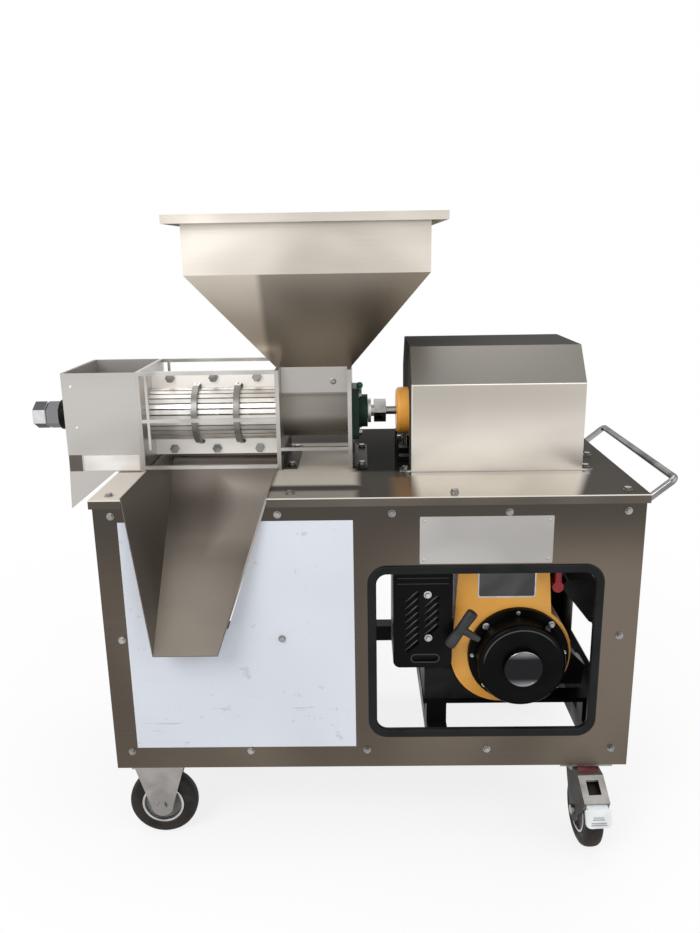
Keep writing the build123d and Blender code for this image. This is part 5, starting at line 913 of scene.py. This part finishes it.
builder = bmesh.new()
for degrees, across in COVER_BOLTS:
    x = COVER[0] + BOLT_RING * math.cos(math.radians(degrees))
    z = COVER[1] + BOLT_RING * math.sin(math.radians(degrees))
    hex_bolt(builder, at(x, RING_Y, z), across, across * 0.5, across * 0.72)
for x, z in GUARD_BOLTS:
    hex_bolt(builder, at(x, GUARD_Y, z), 10, 5, 7.5)
put_on("engine_bolts", builder, 30, bright_ring, "zinc")
# The silver disc carries the painted reflection band.
cap_metal = finish(
    "blank_silver_cap", (0.2, 0.2, 0.21), (0.4, 0.4, 0.41), (0.18, 0.26), 1, (20, 20, 400), (14, 14, 40),
    0.01, patches=[(*CAP_REFLECTION_BAND, (0.02, 0.02, 0.022), True)], edge=0.3)
builder = bmesh.new()
swing(builder, SILVER_CAP, cover_middle, TO_FRONT, 64)
put_on("blank_silver_cap", builder, 30, cap_metal, "zinc")
print("engine bolts", len(COVER_BOLTS) + len(GUARD_BOLTS))

# %% [markdown]
# The muffler guard is pressed sheet: each slanting slot has a rounded lip, two ridges run across the top,
# and a long hole at the foot has a raised rim. A bump map would not change the outline of the slots, so
# each lip is a slim spindle half sunk in the sheet.

# %% Guard lips and ridges
LOUVRE_TILT = math.radians(42)
LIP_WAY = Vector((math.cos(LOUVRE_TILT), 0, math.sin(LOUVRE_TILT)))
LIP_SIDE = Vector((-math.sin(LOUVRE_TILT), 0, math.cos(LOUVRE_TILT)))
LIP_HALF, LIP_RADIUS, LIP_SHIFT, LIP_PITCH = 18, 2.4, 4.8, 14.5
LIP_ALONG = (-18, -16.5, -13, -7, 0, 7, 13, 16.5, 18)
LIP = [(LIP_RADIUS * math.sqrt(1 - (along / LIP_HALF) ** 2), along) for along in LIP_ALONG]
LIP_COLUMNS = [(84, -322, 8), (122, -288, 5)]
RIDGE = [(0, -50), (1.5, -49), (1.5, 49), (0, 50)]
LIP_SINK, RIDGE_SINK, RIM_RAISE = 0.6, 0.3, 0.8
builder = bmesh.new()
for x, lowest, count in LIP_COLUMNS:
    for number in range(count):
        middle = at(x, GUARD_Y + LIP_SINK, lowest + number * LIP_PITCH) + LIP_SIDE * LIP_SHIFT * MM
        swing(builder, LIP, middle, LIP_WAY, 12)
for z in (-178.6, -190.2):
    swing(builder, RIDGE, at(103, GUARD_Y + RIDGE_SINK, z), (1, 0, 0), 12)
outer = rounded_outline(79.5, 136.5, -355.5, -336.5, 9.4)
inner = rounded_outline(82, 134, -353, -339, 6.9)
rings = [[builder.verts.new(at(x, depth, z)) for x, z in outline] for outline, depth in (
    (outer, GUARD_Y), (outer, GUARD_Y - RIM_RAISE), (inner, GUARD_Y - RIM_RAISE), (inner, GUARD_Y))]
for first, second in zip(rings, rings[1:] + rings[:1]):
    join_rings(builder, first, second)
put_on("guard_lips", builder, 40, glossy_black, "black_paint")
print("lips", sum(count for x, lowest, count in LIP_COLUMNS))

# %% [markdown]
# Small things tell that the press is hand built: rivets and a folded strip on the cake box, a bolt on the
# hopper neck and weld at the ends of the hoops. A dark plate in the box's notch by the chute is painted
# shade. Welds could be bumps in the finish, but they stand clear of the slats, so they are turned lumps at
# two angles.

# %% Press details
BOX_Y = (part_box("cake_box")[0][1] - ZERO.y) / MM
CHUTE_Y = (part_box("cake_chute")[0][1] - ZERO.y) / MM
NECK_Y = -61.5
STRIP_THICK, NOTCH_SHADE_THICK = 1.2, 0.5
WELD = [(0, -5), (3.2, -4), (4.4, -1), (4.0, 2), (2.4, 4.2), (0, 5)]
builder = bmesh.new()
upright_slab(builder, rounded_outline(-566, -455, 5, 35.5, 1), BOX_Y, BOX_Y - STRIP_THICK)
for x, z in ((-579, 174), (-574, 92)):
    swing(builder, RIVET, at(x, BOX_Y, z), TO_FRONT, 16)
put_on("box_strip_and_rivets", builder, 30, bright_steel, "stainless")

# Painted shade: a thin dark plate in the box's notch, where its shaded inside shows.
notch_shade_steel = finish(
    "painted_notch_shade_steel", (0.12, 0.105, 0.09), (0.18, 0.158, 0.138), (0.4, 0.5), 1, ALONG_X, 9, 0.03,
    edge=0.6)
builder = bmesh.new()
outline = [(-597, 3), (-570.5, 3), (-570.5, 36.5), (-597, 36.5)]
upright_slab(builder, outline, CHUTE_Y, CHUTE_Y - NOTCH_SHADE_THICK)
put_on("box_notch_painted_shade", builder, None, notch_shade_steel, "stainless")

builder = bmesh.new()
hex_bolt(builder, at(-66, NECK_Y, 172), 9, 4, 6.5)
put_on("neck_bolt", builder, 30, dark_bolt, "zinc")

builder = bmesh.new()
for x in HOOPS_AT:
    for z in (159, 41):
        swing(builder, WELD, at(x, -12, z), (0.3, 0.2, 1), 14)
        swing(builder, WELD, at(x + 5, -10, z - 1), (1, 0.4, 0.2), 12)
put_on("hoop_welds", builder, 50, hoop_steel, "stainless")
print("box front at", round(BOX_Y, 1), "chute front at", round(CHUTE_Y, 1))

# %% [markdown]
# The bearing has a grease nipple with a green cap, and the coupling a set screw that turns with the shaft.
# Threads and slots could be cut, but these pieces are a few millimetres across, so plain turned profiles
# are enough.

# %% Nipple, cap and set screw
NIPPLE = [(3.4, 0), (3.4, 3), (4.4, 3.4), (4.4, 8), (2.6, 8.6), (2.6, 15), (4.2, 16), (4.2, 20), (0, 20.5)]
NIPPLE_CAP = [(0, 19), (4.6, 19.4), (6.6, 22), (6.8, 26), (5.2, 29.4), (2.4, 31), (0, 31.2)]
NIPPLE_FOOT = at(-13, -14, 131)
SET_SCREW = [(5.4, -0.5), (5.4, 0.5), (4.4, 0.8), (2.6, 0.8), (2.4, 0.3), (0, 0.3)]
SCREW_WAY = Vector((0, -math.cos(math.radians(30)), -math.sin(math.radians(30))))
COUPLING_RADIUS = 22
cap_green = finish(
    "green_nipple_cap", (0.006, 0.13, 0.065), (0.012, 0.19, 0.095), (0.3, 0.45), 0, PEEL, 40, 0.05,
    shine=0.3)
builder = bmesh.new()
swing(builder, NIPPLE, NIPPLE_FOOT, (0, 0, 1), 16)
put_on("grease_nipple", builder, 35, plated_steel, "zinc")
builder = bmesh.new()
swing(builder, NIPPLE_CAP, NIPPLE_FOOT, (0, 0, 1), 20)
put_on("grease_nipple_cap", builder, 40, cap_green, "green_paint")
builder = bmesh.new()
swing(builder, SET_SCREW, at(29, 0, 100) + SCREW_WAY * COUPLING_RADIUS * MM, SCREW_WAY, 20)
put_on("coupling_set_screw", builder, 30, recoil_black, "zinc", "screw")
print("nipple foot", [round(v, 3) for v in NIPPLE_FOOT])

# %% [markdown]
# The brake pedals are moulded with grip ribs across the tread. The tread's place could be typed in, but it
# is read from the CAD pedal: the largest group of faces that look one way and upward. Ribs on that plane
# fit however the caster is turned.

# %% Pedal ribs
UPWARD = 0.2
RIB_RADIUS = 1.1
RIBS = [(-0.12, 0.42), (0.1, 0.48), (0.46, 0.62), (0.68, 0.64)]


def largest_upward_plane(node):
    """The ways across and down a node's largest upward plane, its middle and its half sizes."""
    mesh = nodes[node].data
    areas = {}
    for polygon in mesh.polygons:
        if polygon.normal.z > UPWARD:
            key = tuple(round(v, 2) for v in polygon.normal)
            areas.setdefault(key, []).append(polygon)
    group = max(areas.values(), key=lambda faces: sum(face.area for face in faces))
    normal = group[0].normal.copy()
    across = Vector((0, 0, 1)).cross(normal).normalized()
    down = across.cross(normal).normalized()
    points = [mesh.vertices[v].co for face in group for v in face.vertices]
    ways = (across, down, normal)
    spans = [(min(p.dot(way) for p in points), max(p.dot(way) for p in points)) for way in ways]
    centre = sum((way * sum(span) / 2 for way, span in zip(ways, spans)), Vector())
    return across, down, centre, [(high - low) / 2 for low, high in spans]


# The ribs' grey is painted shade on ribs of the pedal's own pale plastic.
rib_plastic = finish(
    "pedal_rib_painted_shade", (0.26, 0.275, 0.28), (0.38, 0.395, 0.4), (0.34, 0.5), 0, PEEL, 24, 0.05, shine=0.3)
for end in ("front", "back"):
    across, down, centre, halves = largest_upward_plane("brake_pedal_" + end)
    builder = bmesh.new()
    for share, width in RIBS:
        half = halves[0] / MM * width
        rib = [(0, -half), (RIB_RADIUS, -half + 1), (RIB_RADIUS, half - 1), (0, half)]
        swing(builder, rib, centre + down * halves[1] * share, across, 12)
    put_on(f"pedal_ribs_{end}", builder, 40, rib_plastic, "pale_plastic", end + "_pedal")
    print("pedal", end, "tread", [round(half / MM, 1) for half in halves])

# %% [markdown]
# Each swivelling caster has a red dust seal between its plate and its fork. A full ring would be hidden but
# for the lip on the fork's flat, so it is a curved strip that turns with the fork. Its place comes from the
# joints: the swivel's pin and the way to the wheel's axle.

# %% Red caster seals
SEAL_NEAR, SEAL_FAR, SEAL_HALF, SEAL_THICK = 29.5, 50, 18, 1.2
SIDEWAYS = [SEAL_HALF * (n / 8 - 1) for n in range(17)]
SEAL = [(math.sqrt(SEAL_FAR ** 2 - side ** 2), side) for side in SIDEWAYS]
SEAL += [(math.sqrt(SEAL_NEAR ** 2 - side ** 2), side) for side in reversed(SIDEWAYS)]
seal_red = finish(
    "dull_red_seal", (0.105, 0.026, 0.028), (0.19, 0.062, 0.066), (0.4, 0.6), 0, PEEL, 40, 0.03, shine=0.2)
for end in ("front", "back"):
    pin = Vector(record_joints[end + "_swivel_turn"]["pos_m"])
    trail = Vector(record_joints[f"right_{end}_wheel_spin"]["pos_m"]) - pin
    ahead_way = Vector((trail.x, trail.y, 0)).normalized()
    side_way = Vector((-ahead_way.y, ahead_way.x, 0))
    foot = Vector((pin.x, pin.y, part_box("swivel_fork_" + end)[1][2]))
    under = [foot + (ahead_way * forward + side_way * side) * MM for forward, side in SEAL]
    builder = bmesh.new()
    slab(builder, under, [point + Vector((0, 0, SEAL_THICK * MM)) for point in under])
    put_on(f"swivel_seal_{end}", builder, 40, seal_red, "red_plastic", end + "_swivel")
print("seal points", len(SEAL))
